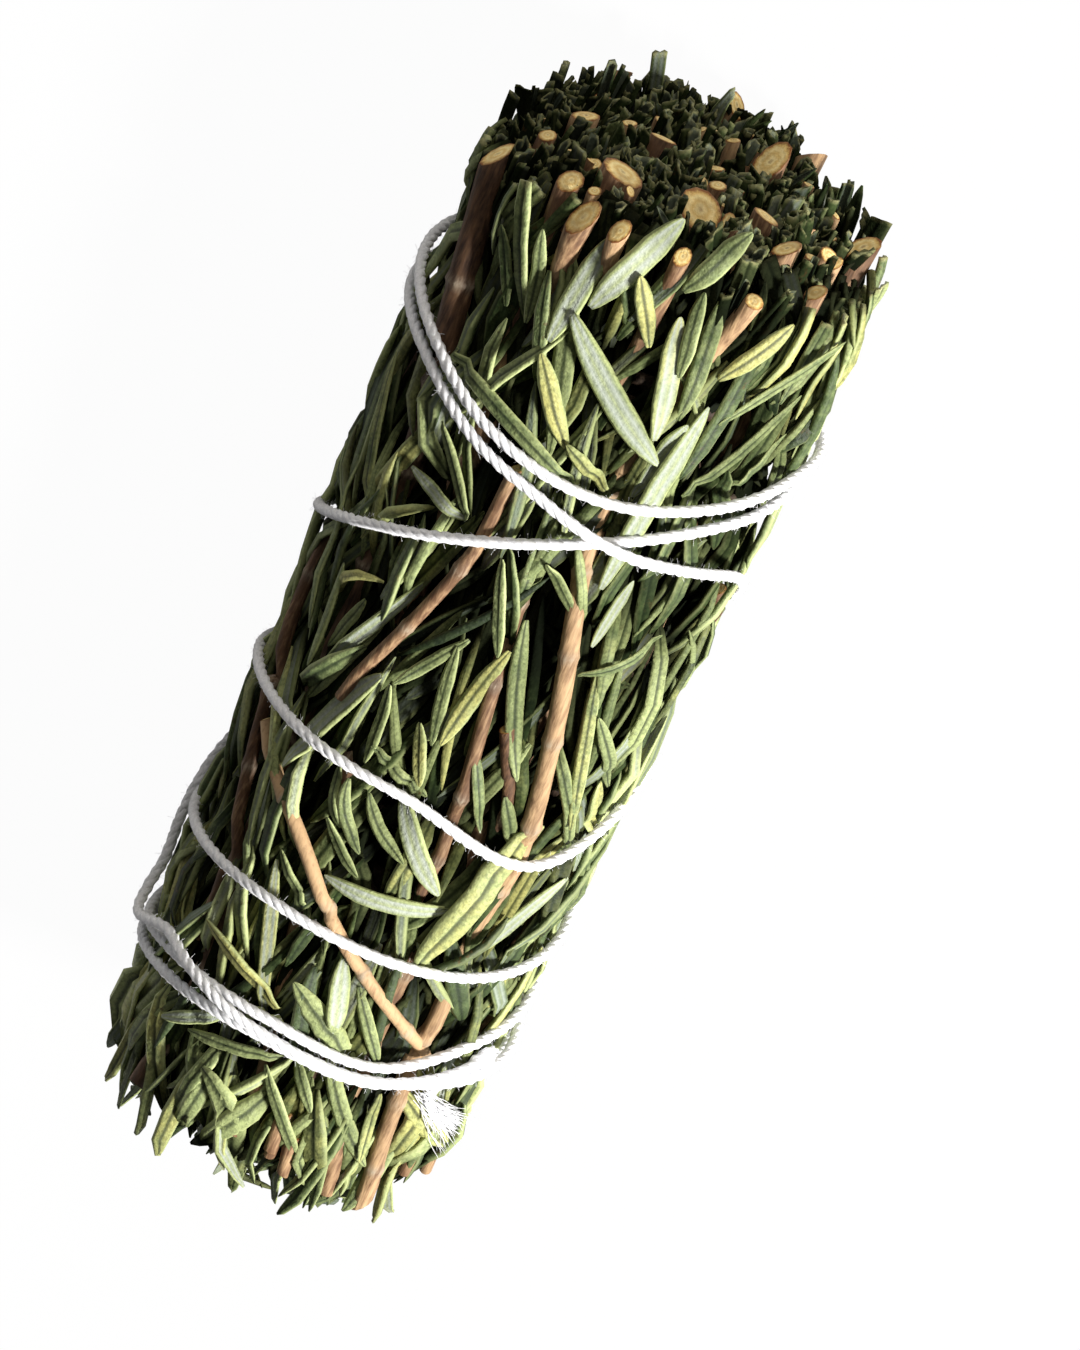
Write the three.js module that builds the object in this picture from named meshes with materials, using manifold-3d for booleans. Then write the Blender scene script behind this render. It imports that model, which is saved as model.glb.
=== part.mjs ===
// A tied bundle of dried rosemary, lying on its side. Millimetres, +Z up.
// The bundle's long axis runs along X. The cut end is at +X and the leafy end at -X.
// A place on the bundle is given by x, by its turn about the long axis, in degrees from straight up
// and growing towards -Y, and by its radius from the axis.
import * as THREE from "three";
import { mergeVertices } from "three/addons/utils/BufferGeometryUtils.js";
import Module from "manifold-3d";

const wasm = await Module();
wasm.setup();

// Driving dimensions.
const LENGTH = 104; // cut face to leaf tips
const FOLIAGE_RADIUS = 19.2; // how far the leaves reach from the axis
const AXIS_HEIGHT = 18.3; // less than the radius, because the bundle lies on a pressed flat
const GAP = 0.3; // clearance between neighbouring pieces
const STRING_RADIUS = 0.65;
const STRING_RING = 19; // radius at which the string's centre lies, bedded into the leaves
const SPRIG_COUNT = 24;
const TWIG_RADIUS = 1.0;

const CUT_END = 50; // x of the cut face
const GOLDEN_ANGLE = 180 * (3 - Math.sqrt(5)); // degrees, spreads the stems evenly over the round
const FIRST_SPRIG_TURN = 17;
const STEM_RING = 16.4; // radius of the outermost stems
const radians = THREE.MathUtils.degToRad;

// Solids.

/** The point at x, turn and radius. */
function onBundle(x, turn, radius) {
  const angle = radians(turn);
  return new THREE.Vector3(
    x,
    -radius * Math.sin(angle),
    AXIS_HEIGHT + radius * Math.cos(angle),
  );
}

function toSolid(geometry) {
  const bare = geometry.clone();
  bare.deleteAttribute("normal");
  bare.deleteAttribute("uv");
  const merged = mergeVertices(bare, 1e-4);
  return new wasm.Manifold(
    new wasm.Mesh({
      numProp: 3,
      vertProperties: merged.attributes.position.array,
      triVerts: new Uint32Array(merged.index.array),
    }),
  );
}

function toGeometry(solid) {
  const mesh = solid.getMesh();
  return new THREE.BufferGeometry()
    .setAttribute("position", new THREE.BufferAttribute(mesh.vertProperties, 3))
    .setIndex(new THREE.BufferAttribute(mesh.triVerts, 1));
}

const CRUMB = 0.06; // detail smaller than this, left by a cut, is smoothed away

/** The largest of a solid's separate bodies: a cut can leave crumbs of leaf behind. */
function largestBody(solid) {
  return solid.decompose().reduce((a, b) => (b.volume() > a.volume() ? b : a));
}

/** A solid less the rooms that other pieces take, as one body, pressed flat where the bundle lies. */
function cutClear(solid, rooms) {
  const cut = rooms.reduce((left, room) => left.subtract(room), solid);
  return largestBody(largestBody(cut).simplify(CRUMB).trimByPlane([0, 0, 1], 0));
}

/** Moves every vertex of a geometry by a function of its place. */
function bend(geometry, place) {
  const position = geometry.attributes.position;
  const vertex = new THREE.Vector3();
  for (let i = 0; i < position.count; i++) {
    vertex.fromBufferAttribute(position, i);
    const moved = place(vertex);
    position.setXYZ(i, moved.x, moved.y, moved.z);
  }
  return geometry;
}

/** A tube along a curve, with flat ends. */
function tube(curve, radius, sides, steps) {
  const section = new THREE.Shape(
    Array.from({ length: sides }, (_, i) => {
      const angle = (2 * Math.PI * i) / sides;
      return new THREE.Vector2(radius * Math.cos(angle), radius * Math.sin(angle));
    }),
  );
  return new THREE.ExtrudeGeometry(section, { steps, extrudePath: curve });
}

/** A leaf lying along +Y from the origin: narrow at its base, widest past the middle, with a blunt point. */
function leafGeometry(length, width, thickness) {
  const corner = Math.SQRT1_2; // half a side of the four-sided section, over its corner radius
  const outline = [
    [0, 0],
    [corner * 0.7, 0.12 * length],
    [corner, 0.65 * length],
    [0, length],
  ].map(([out, along]) => new THREE.Vector2(out, along));
  return new THREE.LatheGeometry(outline, 4, Math.PI / 4).scale(width, 1, thickness);
}

// The string: one length of cotton, wound up the bundle and back down to its knot.
// Each station is a turn in degrees, counted on from one winding to the next, and the x there.
const STRING_STATIONS = [
  [54, -37.4], [180, -40], [270, -42.4], [303, -40.4], [346, -38.6], [385, -39], [414, -37.2], [540, -37.8],
  [630, -40.6], [663, -38.1], [706, -36.6], [745, -37.1], [769, -34.6], [800, -32.6], [900, -30.2],
  [1000, -27.7], [1051, -25.8], [1131, -25.8], [1170, -24.2], [1260, -18], [1350, -10.6],
  [1406, -9.6], [1435, -9.4], [1484, -12.8], [1510, -8.8], [1620, -1.5],
  [1710, 5], [1762, 13], [1790, 17.6], [1815, 21.4], [1841, 24.4], [1866, 25.9], [1980, 31.5],
  [2070, 32], [2105, 29.8], [2133, 26.7], [2171, 25.2], [2199, 26.6], [2227, 28.2], [2340, 27.2],
  [2430, 29.2], [2465, 27.9], [2493, 24.8], [2514, 23.3], [2537, 21.7], [2560, 20.2], [2590, 17.9],
  [2630, 8], [2660, -4], [2700, -11], [2740, -15.3], [2765, -26], [2790, -38.6],
  [2823, -36.4], [2866, -37.5], [2905, -38], [2940, -35.6],
];
const STRING_STEP = 18; // degrees of turn between the string's sections
const CROSSING_GAP = 2 * STRING_RADIUS + GAP; // between the centres of two strands
const CROSSING_REACH = 26; // degrees of turn over which a strand rises to pass over another
const STRING_FLOOR = STRING_RADIUS + 0.2; // height of the string's centre where it lies on the flat
const KNOT = { x: -36.5, turn: 57 };

/** The radius at which the string lies at a turn: its ring, cut short by the flat under the bundle. */
function stringRadiusAt(turn) {
  const down = -Math.cos(radians(turn));
  return down > 0 ? Math.min(STRING_RING, (AXIS_HEIGHT - STRING_FLOOR) / down) : STRING_RING;
}

/** The string's x at every degree or so of its turn, from its stations. */
function stringRoute() {
  const route = new THREE.CatmullRomCurve3(
    STRING_STATIONS.map(([turn, x]) => new THREE.Vector3(turn, x, 0)),
    false,
    "centripetal",
  );
  return route.getPoints(STRING_STATIONS.length * 16).map((p) => ({ turn: p.x, x: p.y }));
}

/** How far the strand at one place has to rise to pass over a strand laid before it. */
function riseOver(place, earlier) {
  const sameSide = THREE.MathUtils.euclideanModulo(place.turn - earlier.turn + 180, 360) - 180;
  const apart = Math.hypot(radians(sameSide) * STRING_RING, place.x - earlier.x);
  return place.turn - earlier.turn > 180 && apart < CROSSING_GAP
    ? Math.sqrt(CROSSING_GAP ** 2 - apart ** 2)
    : 0;
}

/** Points along the string's centre, raised wherever it passes over an earlier strand. */
function stringPoints() {
  const route = stringRoute();
  const crossings = route
    .map((place, i) => ({
      turn: place.turn,
      rise: Math.max(0, ...route.slice(0, i).map((earlier) => riseOver(place, earlier))),
    }))
    .filter(({ rise }) => rise > 0);
  const [first, last] = [route[0].turn, route.at(-1).turn];
  const count = Math.round((last - first) / STRING_STEP);
  return Array.from({ length: count + 1 }, (_, i) => {
    const turn = first + ((last - first) * i) / count;
    const after = Math.max(1, route.findIndex((p) => p.turn >= turn - 1e-6));
    const [a, b] = [route[after - 1], route[after]];
    const x = THREE.MathUtils.mapLinear(turn, a.turn, b.turn, a.x, b.x);
    const rise = Math.max(
      0,
      ...crossings.map((crossing) => {
        const away = Math.min(1, Math.abs(turn - crossing.turn) / CROSSING_REACH);
        return crossing.rise * (0.5 + 0.5 * Math.cos(Math.PI * away));
      }),
    );
    const place = onBundle(x, turn, stringRadiusAt(turn) + rise);
    return place.setZ(Math.max(place.z, STRING_FLOOR));
  });
}

const stringLine = stringPoints();

/** The string as overlapping lengths of at most a turn each, so that strands side by side stay apart. */
function stringLengths(radius) {
  const perTurn = 360 / STRING_STEP;
  const lengths = [];
  for (let start = 0; start < stringLine.length - 1; start += perTurn) {
    const points = stringLine.slice(Math.max(0, start - 1), start + perTurn + 1);
    lengths.push(toSolid(tube(new THREE.CatmullRomCurve3(points), radius, 6, points.length - 1)));
  }
  return lengths;
}

/** One of the string's two cut tails, which lie on the leaves below the knot. */
function stringTail(endX, endTurn, radius) {
  const points = [0, 0.5, 1].map((t) =>
    onBundle(
      THREE.MathUtils.lerp(KNOT.x, endX, t),
      THREE.MathUtils.lerp(KNOT.turn, endTurn, t * t),
      STRING_RING + 0.6 * Math.sin(Math.PI * (0.5 + 0.5 * t)),
    ),
  );
  return toSolid(tube(new THREE.CatmullRomCurve3(points), radius, 6, 4));
}

/** The knot's lump, wide along the string. */
function knotLump(grow) {
  const lump = new THREE.IcosahedronGeometry(1, 1);
  lump.scale(1.9 + grow, 2.3 + grow, 1.5 + grow);
  lump.rotateX(radians(KNOT.turn));
  const centre = onBundle(KNOT.x, KNOT.turn, STRING_RING + 0.5);
  return toSolid(lump.translate(centre.x, centre.y, centre.z));
}

function tails(radius) {
  return [stringTail(-44.5, 55, radius), stringTail(-43, 63, radius)];
}

function makeString() {
  const steps = stringLine.length - 1;
  const whole = toSolid(tube(new THREE.CatmullRomCurve3(stringLine), STRING_RADIUS, 6, steps));
  return wasm.Manifold.union([whole, knotLump(0), ...tails(STRING_RADIUS)]);
}

// Bare twigs that lie across the outside, under the string. Each station is [x, turn].
const TWIGS = {
  bare_twig_long: [[-13, -66], [-18, -30], [-24.5, -10], [-29, 9], [-34, 31], [-37, 44]],
  bare_twig_short: [[24, -15], [14.5, -16], [6, -24], [-5, -38]],
};
const TWIG_RING = STRING_RING - STRING_RADIUS - TWIG_RADIUS - 0.45; // low enough to pass under the string

function twigSolid(stations, radius) {
  const points = stations.map(([x, turn]) => onBundle(x, turn, TWIG_RING));
  return toSolid(tube(new THREE.CatmullRomCurve3(points), radius, 6, 3 * (points.length - 1)));
}

// Broad leaves that came loose and lie on the outside. heading is the way the tip points,
// in degrees from the leafy end, growing with turn.
const LOOSE_LEAVES = {
  loose_leaf_1: { x: -9.5, turn: 35, heading: -18, length: 17, width: 2.8 },
  loose_leaf_2: { x: 40, turn: -17, heading: 50, length: 15, width: 2.8 },
  loose_leaf_3: { x: 16.5, turn: 21, heading: 175, length: 20, width: 2.6 },
  loose_leaf_4: { x: -5, turn: 112, heading: 12, length: 19, width: 2.6 },
  loose_leaf_5: { x: 12, turn: -104, heading: 20, length: 18, width: 2.7 },
  loose_leaf_6: { x: 44, turn: 150, heading: -15, length: 16, width: 2.6 },
};
const LEAF_THICKNESS = 1.5;
const LOOSE_RING = 18.4;

function looseLeafSolid({ x, turn, heading, length, width }, grow) {
  const leaf = leafGeometry(length + 2 * grow, width + 2 * grow, LEAF_THICKNESS + 2 * grow);
  leaf.translate(0, -grow, 0);
  const [along, across] = [Math.cos(radians(heading)), Math.sin(radians(heading))];
  bend(leaf, ({ x: side, y: forward, z: up }) => {
    const round = (forward * across - side * along) / LOOSE_RING;
    return onBundle(
      x - forward * along - side * across,
      turn + THREE.MathUtils.radToDeg(round),
      LOOSE_RING + up,
    );
  });
  return toSolid(leaf);
}

// The sprigs.

/** Where sprig k's stem stands in the bundle's round: the golden angle fills a disc evenly. */
function stemPlace(k) {
  return {
    turn: FIRST_SPRIG_TURN + k * GOLDEN_ANGLE,
    radius: STEM_RING * Math.sqrt((k + 0.5) / (SPRIG_COUNT - 0.5)),
  };
}

const stemPoints = Array.from({ length: SPRIG_COUNT }, (_, k) => {
  const { turn, radius } = stemPlace(k);
  const p = onBundle(0, turn, radius);
  return new THREE.Vector2(p.y, p.z);
});

/** The bundle's outline across its axis. */
function bundleOutline() {
  const sides = 36;
  return Array.from({ length: sides }, (_, i) => {
    const p = onBundle(0, (360 * i) / sides, FOLIAGE_RADIUS);
    return new THREE.Vector2(p.y, p.z);
  });
}

/** The part of a polygon on the near side of the line through point, square to normal. */
function clip(polygon, point, normal) {
  const depth = (p) => p.clone().sub(point).dot(normal);
  return polygon.flatMap((p, i) => {
    const next = polygon[(i + 1) % polygon.length];
    const [a, b] = [depth(p), depth(next)];
    const kept = a <= 0 ? [p] : [];
    if (a <= 0 !== b <= 0) {
      kept.push(p.clone().lerp(next, a / (a - b)));
    }
    return kept;
  });
}

/** The room that sprig k has among its neighbours, as a prism along the bundle. */
function sprigRoom(k) {
  let outline = bundleOutline();
  stemPoints.forEach((other, j) => {
    if (j !== k) {
      const normal = other.clone().sub(stemPoints[k]).normalize();
      const middle = other.clone().lerp(stemPoints[k], 0.5).addScaledVector(normal, -GAP / 2);
      outline = clip(outline, middle, normal);
    }
  });
  const prism = new THREE.ExtrudeGeometry(new THREE.Shape(outline), {
    depth: LENGTH,
    bevelEnabled: false,
  });
  prism.translate(0, 0, CUT_END - LENGTH);
  const [x, y, z] = [new THREE.Vector3(1, 0, 0), new THREE.Vector3(0, 1, 0), new THREE.Vector3(0, 0, 1)];
  prism.applyMatrix4(new THREE.Matrix4().makeBasis(y, z, x));
  return toSolid(prism);
}

const NODE_SPACING = 23; // along a stem, between its pairs of tufts
const TUFT = { length: 25, width: 3.4, thickness: 2.3 }; // a node's leaves on one side, pressed together
const TUFT_SPREAD = 2.5; // how far a pressed tuft's middle stands off its stem's
const OUTER_STEMS = 11; // past this radius a stem's outward tufts reach the bundle's surface

/** A stem along +Y from its cut butt at the origin, swollen where each pair of leaves grows. */
function stemGeometry(length, radius, nodes) {
  const taper = (y) => radius * (1 - (0.55 * y) / length);
  const profile = [[0, 0], [taper(0), 0]];
  nodes.forEach((y) => profile.push([1.2 * taper(y), y]));
  profile.push([taper(length), length], [0, length]);
  return new THREE.LatheGeometry(
    profile.map(([r, y]) => new THREE.Vector2(r, y)),
    6,
  );
}

/** Sprig k: its stem and the tufts of leaves that grow on it, as one piece. */
function sprigSolid(k, rooms) {
  const { turn, radius: ring } = stemPlace(k);
  const trim = 0.6 * (1 + Math.sin(1.7 * k)); // the cut face isn't quite even
  const stemLength = LENGTH - 9 + 5 * Math.sin(2.4 * k);
  const stemRadius = 1.35 + 0.35 * Math.sin(3.1 * k);
  const firstNode = 5 + 4 * (1 + Math.sin(1.3 * k));
  const nodes = [];
  for (let y = firstNode; y < stemLength - 2; y += NODE_SPACING) {
    nodes.push(y);
  }
  const pieces = [stemGeometry(stemLength, stemRadius, nodes)];
  nodes.forEach((y, n) => {
    [0, 180].forEach((side) => {
      const length = TUFT.length + 2 * Math.sin(2.2 * k + n + side);
      const tuft = leafGeometry(length, TUFT.width, TUFT.thickness);
      const outermost = ring > OUTER_STEMS && side === 0 && n % 2 === 0;
      const spread = outermost ? FOLIAGE_RADIUS - ring - 0.2 * TUFT.thickness : TUFT_SPREAD;
      bend(tuft, (v) => {
        const risen = Math.sin(Math.min(1, (2 * v.y) / length) * 0.5 * Math.PI);
        return new THREE.Vector3(v.x, v.y, v.z + stemRadius * 0.4 * (1 - risen) + spread * risen);
      });
      tuft.rotateY(radians(side + 90 * n - turn));
      pieces.push(tuft.translate(0, y - 0.5, 0));
    });
  });
  const sway = 0.35;
  const foot = onBundle(CUT_END - trim, turn, ring);
  pieces.forEach((piece) =>
    bend(piece.rotateZ(Math.PI / 2), (v) =>
      v.add(foot).add(new THREE.Vector3(0, sway * Math.sin(v.x / 14 + k), sway * Math.cos(v.x / 17 + k))),
    ),
  );
  const grown = wasm.Manifold.union(pieces.map(toSolid)).intersect(sprigRoom(k));
  return cutClear(grown, rooms);
}

// Materials.
const material = (color, roughness) => new THREE.MeshStandardMaterial({ color, roughness, metalness: 0 });
const sprigGreen = material(0x6d7c43, 0.75);
const looseLeafGreen = material(0x94a06a, 0.75);
const twigBrown = material(0x8a5e3c, 0.8);
const cottonWhite = material(0xf0efea, 0.9);

// The bundle.
const bundle = new THREE.Group();
bundle.position.set(2, 0.48, 0); // centres the whole box over the origin

// The bundle is pulled in a little when it is tied, and narrows towards the leafy end.
const GIRTH = 0.97;
const TAPER = 0.0011; // change of girth for each millimetre along the bundle

function add(name, solid, finish) {
  const girth = (x) => GIRTH + TAPER * x;
  const geometry = bend(toGeometry(solid), (v) =>
    v.clone().multiply(new THREE.Vector3(1, girth(v.x), girth(v.x))),
  );
  const mesh = new THREE.Mesh(geometry, finish);
  mesh.name = name;
  bundle.add(mesh);
}

const clearance = GAP + 0.1; // a little over the gap, because the tubes have flat sides
const rooms = [
  wasm.Manifold.union([
    ...stringLengths(STRING_RADIUS + clearance),
    knotLump(clearance),
    ...tails(STRING_RADIUS + clearance),
  ]),
];

add("cotton_string", makeString(), cottonWhite);
Object.entries(TWIGS).forEach(([name, stations]) => {
  add(name, cutClear(twigSolid(stations, TWIG_RADIUS), rooms), twigBrown);
  rooms.push(twigSolid(stations, TWIG_RADIUS + clearance));
});
Object.entries(LOOSE_LEAVES).forEach(([name, leaf]) => {
  add(name, cutClear(looseLeafSolid(leaf, 0), rooms), looseLeafGreen);
  rooms.push(looseLeafSolid(leaf, clearance));
});
for (let k = 0; k < SPRIG_COUNT; k++) {
  add(`sprig_${String(k + 1).padStart(2, "0")}`, sprigSolid(k, rooms), sprigGreen);
}

export default bundle;
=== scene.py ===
import logging
import math
from dataclasses import dataclass, replace
from enum import Enum

import bpy
import numpy as np
from mathutils import Matrix, Vector

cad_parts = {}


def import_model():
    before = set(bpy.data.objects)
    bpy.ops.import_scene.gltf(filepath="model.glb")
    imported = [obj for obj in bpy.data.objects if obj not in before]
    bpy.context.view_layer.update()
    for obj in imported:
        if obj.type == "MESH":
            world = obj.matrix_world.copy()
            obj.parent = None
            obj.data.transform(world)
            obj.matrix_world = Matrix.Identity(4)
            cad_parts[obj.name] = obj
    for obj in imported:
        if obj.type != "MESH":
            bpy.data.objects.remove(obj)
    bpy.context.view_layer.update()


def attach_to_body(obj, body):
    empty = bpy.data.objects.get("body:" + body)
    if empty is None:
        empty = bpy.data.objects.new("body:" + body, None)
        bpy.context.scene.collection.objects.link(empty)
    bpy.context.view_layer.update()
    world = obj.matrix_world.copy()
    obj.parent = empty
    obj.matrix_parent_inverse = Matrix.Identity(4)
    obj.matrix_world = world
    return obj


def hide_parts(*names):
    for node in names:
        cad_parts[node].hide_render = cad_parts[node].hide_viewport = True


# The rosemary bundle: dried sprigs laid together, cut across at the +X end, leafy at the -X end and tied
# round with one cotton string. Sizes here are in millimetres and degrees, and meshes are made in metres.
# A place on the bundle is given by its x, its turn about the long axis, in degrees from straight up and
# growing towards -Y, and its radius from the axis.

log = logging.getLogger("rosemary_bundle")
MM = 0.001
SEED = 7
PLACE = (2.0, 0.48, 0.0)  # the bundle's own middle, set so that its whole box is centred over the origin
Colour = tuple[float, float, float]
Point = tuple[float, float, float]
Station = tuple[float, float, float]  # x, turn, radius
Socket = bpy.types.NodeSocket
Piece = bpy.types.Object


# ------------------------------------------------------------------------------------------------ nodes


class NodeWriter:
    """Writes nodes and links into one node tree."""

    def __init__(self, tree: bpy.types.NodeTree) -> None:
        """Keeps the tree that the nodes go into."""
        self.tree = tree

    def node(self, kind: str, inputs: dict | None = None, **settings: object) -> bpy.types.Node:
        """Adds one node.

        Args:
            kind: the node's type name.
            inputs: socket name or number to a value, or to another node's output.
            settings: the node's own properties.
        Returns:
            The new node.
        """
        made = self.tree.nodes.new(kind)
        for name, value in settings.items():
            setattr(made, name, value)
        for key, value in (inputs or {}).items():
            if isinstance(value, Socket):
                self.tree.links.new(value, made.inputs[key])
            else:
                made.inputs[key].default_value = value
        return made

    def out(self, kind: str, inputs: dict | None = None, **settings: object) -> Socket:
        """Adds one node and gives its first output."""
        return self.node(kind, inputs, **settings).outputs[0]

    def math(self, operation: str, a: object, b: object = 0.0, clamp: bool = False) -> Socket:
        """Adds a Math node and gives its output."""
        return self.node("ShaderNodeMath", {0: a, 1: b}, operation=operation, use_clamp=clamp).outputs[0]

    def vector(self, operation: str, a: object, b: object = (0.0, 0.0, 0.0)) -> Socket:
        """Adds a Vector Math node and gives its vector output."""
        return self.node("ShaderNodeVectorMath", {0: a, 1: b}, operation=operation).outputs[0]

    def scaled(self, a: object, by: object) -> Socket:
        """A vector times a number."""
        return self.node("ShaderNodeVectorMath", {0: a, "Scale": by}, operation="SCALE").outputs[0]

    def remap(
        self, value: object, low: float, high: float, to_low: float = 0.0, to_high: float = 1.0
    ) -> Socket:
        """A value moved smoothly from one range to another, and held at its ends.

        Args:
            value: the value.
            low: where the range that it comes from begins.
            high: where that range ends.
            to_low: what low becomes.
            to_high: what high becomes.
        Returns:
            The moved value.
        """
        return self.node(
            "ShaderNodeMapRange",
            {0: value, 1: low, 2: high, 3: to_low, 4: to_high},
            interpolation_type="SMOOTHSTEP",
        ).outputs[0]

    def blend(self, share: object, a: object, b: object) -> Socket:
        """Two colours mixed by a share."""
        a, b = [(*c, 1.0) if isinstance(c, tuple) else c for c in (a, b)]
        return self.node("ShaderNodeMix", {0: share, 6: a, 7: b}, data_type="RGBA").outputs[2]

    def ramp(self, value: object, stops: list[tuple[float, Colour]]) -> Socket:
        """A colour ramp over the stops given as (place, colour).

        Args:
            value: what picks the colour, from 0 to 1.
            stops: the place and the colour of each stop.
        Returns:
            The colour.
        """
        made = self.node("ShaderNodeValToRGB", {0: value})
        elements = made.color_ramp.elements
        for place, _ in stops[1:-1]:
            elements.new(place)
        for element, (place, colour) in zip(elements, stops):
            element.position = place
            element.color = (*colour, 1.0)
        return made.outputs[0]

    def attribute(self, name: str) -> Socket:
        """A shader's reading of one of the mesh's own attributes."""
        return self.node("ShaderNodeAttribute", attribute_name=name).outputs["Fac"]

    def noise(self, place: object, scale: object, detail: float = 2.0, rough: float = 0.5) -> Socket:
        """A noise texture's value.

        Args:
            place: where on the object it is read.
            scale: how fine it is.
            detail: how many finer layers it has.
            rough: how strong the finer layers are.
        Returns:
            The value, from 0 to 1.
        """
        return self.node(
            "ShaderNodeTexNoise", {"Vector": place, "Scale": scale, "Detail": detail, "Roughness": rough}
        ).outputs["Fac"]

    def spread(self, noise: object, amount: float) -> Socket:
        """A noise value turned into an offset about zero."""
        return self.math("MULTIPLY", self.math("SUBTRACT", noise, 0.5), amount)


def new_material(name: str) -> tuple[bpy.types.Material, NodeWriter, bpy.types.Node]:
    """Starts a material.

    Args:
        name: the material's name.
    Returns:
        The material, its node writer and its Principled shader.
    """
    material = bpy.data.materials.new(name)
    material.use_nodes = True
    return material, NodeWriter(material.node_tree), material.node_tree.nodes["Principled BSDF"]


def new_tree(name: str, made: str, sizes: dict[str, float]) -> bpy.types.NodeTree:
    """Starts a Geometry Nodes tree that takes paths, named sizes and a seed.

    Args:
        name: the tree's name.
        made: the name of its output.
        sizes: the name of each number that it takes, with its value.
    Returns:
        The tree, with no nodes yet.
    """
    tree = bpy.data.node_groups.new(name, "GeometryNodeTree")
    sockets = tree.interface
    sockets.new_socket("Paths", in_out="INPUT", socket_type="NodeSocketGeometry")
    for label, value in sizes.items():
        sockets.new_socket(label, in_out="INPUT", socket_type="NodeSocketFloat").default_value = value
    sockets.new_socket("Seed", in_out="INPUT", socket_type="NodeSocketInt").default_value = SEED
    sockets.new_socket(made, in_out="OUTPUT", socket_type="NodeSocketGeometry")
    return tree


# ------------------------------------------------------------------------------------------- finishes


@dataclass(frozen=True)
class LeafFinish:
    """Dried rosemary leaf: wrinkled green above, felted grey-white below, with a pale rolled leaf edge that
    is partly painted highlight. The groove along the midrib is darkened as painted shade, and leaves that lie
    deep in the bundle are darkened by painted shade.
    """

    dark: Colour = (0.009, 0.017, 0.006)
    green: Colour = (0.080, 0.115, 0.040)
    light: Colour = (0.32, 0.37, 0.155)
    yellow: Colour = (0.47, 0.45, 0.15)
    brown: Colour = (0.11, 0.060, 0.022)
    felt: Colour = (0.42, 0.45, 0.40)
    felt_shadow: Colour = (0.15, 0.19, 0.14)
    # pale rolled edge colour: partly the leaf's own, partly a painted highlight along its edges
    margin_highlight: Colour = (0.42, 0.47, 0.21)
    cut: Colour = (0.33, 0.32, 0.15)
    # colour towards which painted shade darkens the leaves that lie deep in the bundle
    painted_shade_dark: Colour = (0.004, 0.005, 0.003)
    patch_scale: float = 420.0
    fine_scale: float = 2800.0
    bubble_scale: float = 1300.0
    spot_scale: float = 900.0
    crumb_scale: float = 1800.0
    bump_depth: float = 0.00014
    roughness: float = 0.6
    felt_roughness: float = 0.9

    def material(self, name: str) -> bpy.types.Material:
        """Builds the material, from the leaf's own attributes and the place on the object.

        Args:
            name: the material's name.
        Returns:
            The material.
        """
        material, w, shader = new_material(name)
        place = w.node("ShaderNodeTexCoord").outputs["Object"]
        tone, hue, shade = w.attribute("tone"), w.attribute("hue"), w.attribute("shade")
        felt = w.attribute("felt")
        margin_highlight, rib_groove_shade = w.remap(w.attribute("margin_highlight"), 0.3, 0.95), w.remap(w.attribute("rib_groove_shade"), 0.4, 0.95)
        patch, fine = w.noise(place, self.patch_scale, 3.0, 0.6), w.noise(place, self.fine_scale, 3.0, 0.65)
        bubbles = w.noise(place, self.bubble_scale, 2.0, 0.6)
        level = w.math("ADD", tone, w.spread(patch, 0.7))
        level = w.math("ADD", level, w.spread(bubbles, 0.35), clamp=True)
        upper = w.ramp(level, [(0.0, self.dark), (0.40, self.green), (0.85, self.light), (1.0, self.light)])
        aged = w.remap(w.math("ADD", hue, w.spread(patch, 0.45)), 0.74, 1.04)
        upper = w.blend(w.math("MULTIPLY", aged, w.remap(level, 0.2, 0.9, 0.25, 1.0)), upper, self.yellow)
        spots = w.remap(w.noise(place, self.spot_scale, 4.0, 0.7), 0.56, 0.70)
        upper = w.blend(w.math("MULTIPLY", spots, w.remap(hue, 0.3, 0.0)), upper, self.brown)
        upper = w.blend(w.remap(fine, 0.35, 0.7, 0.0, 0.45), upper, self.dark)
        # The pale rolled edges: partly the leaf's own colour, partly a painted highlight.
        upper = w.blend(w.math("MULTIPLY", margin_highlight, w.remap(tone, 0.0, 0.8, 0.2, 0.9)), upper, self.margin_highlight)
        # Painted shade: the groove along the midrib is darkened.
        upper = w.blend(w.math("MULTIPLY", rib_groove_shade, 0.8), upper, self.dark)
        lower = w.blend(w.remap(fine, 0.3, 0.75, 0.0, 0.3), self.felt, self.felt_shadow)
        lower = w.blend(w.remap(tone, 1.0, 0.1, 0.0, 0.85), lower, self.felt_shadow)
        whole = w.blend(felt, upper, lower)
        crumbly = w.remap(w.noise(place, self.crumb_scale), 0.35, 0.6, 0.1, 0.9)
        whole = w.blend(w.math("MULTIPLY", w.attribute("cut"), crumbly), whole, self.cut)
        # Painted shade: the deeper a leaf lies, the more its colour is darkened, almost fully at the most.
        whole = w.blend(w.math("MULTIPLY", shade, 0.97), whole, self.painted_shade_dark)
        height = w.math("ADD", fine, w.math("MULTIPLY", bubbles, 1.5))
        bump = w.node("ShaderNodeBump", {"Strength": 0.7, "Distance": self.bump_depth, "Height": height})
        w.tree.links.new(whole, shader.inputs["Base Color"])
        w.tree.links.new(bump.outputs[0], shader.inputs["Normal"])
        rough = w.remap(felt, 0.0, 1.0, self.roughness, self.felt_roughness)
        # Leaves under painted shade also lose their gloss.
        gloss = w.remap(shade, 0.0, 0.6, 0.35, 0.0)
        w.tree.links.new(rough, shader.inputs["Roughness"])
        w.tree.links.new(gloss, shader.inputs["Specular IOR Level"])
        return material


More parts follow.
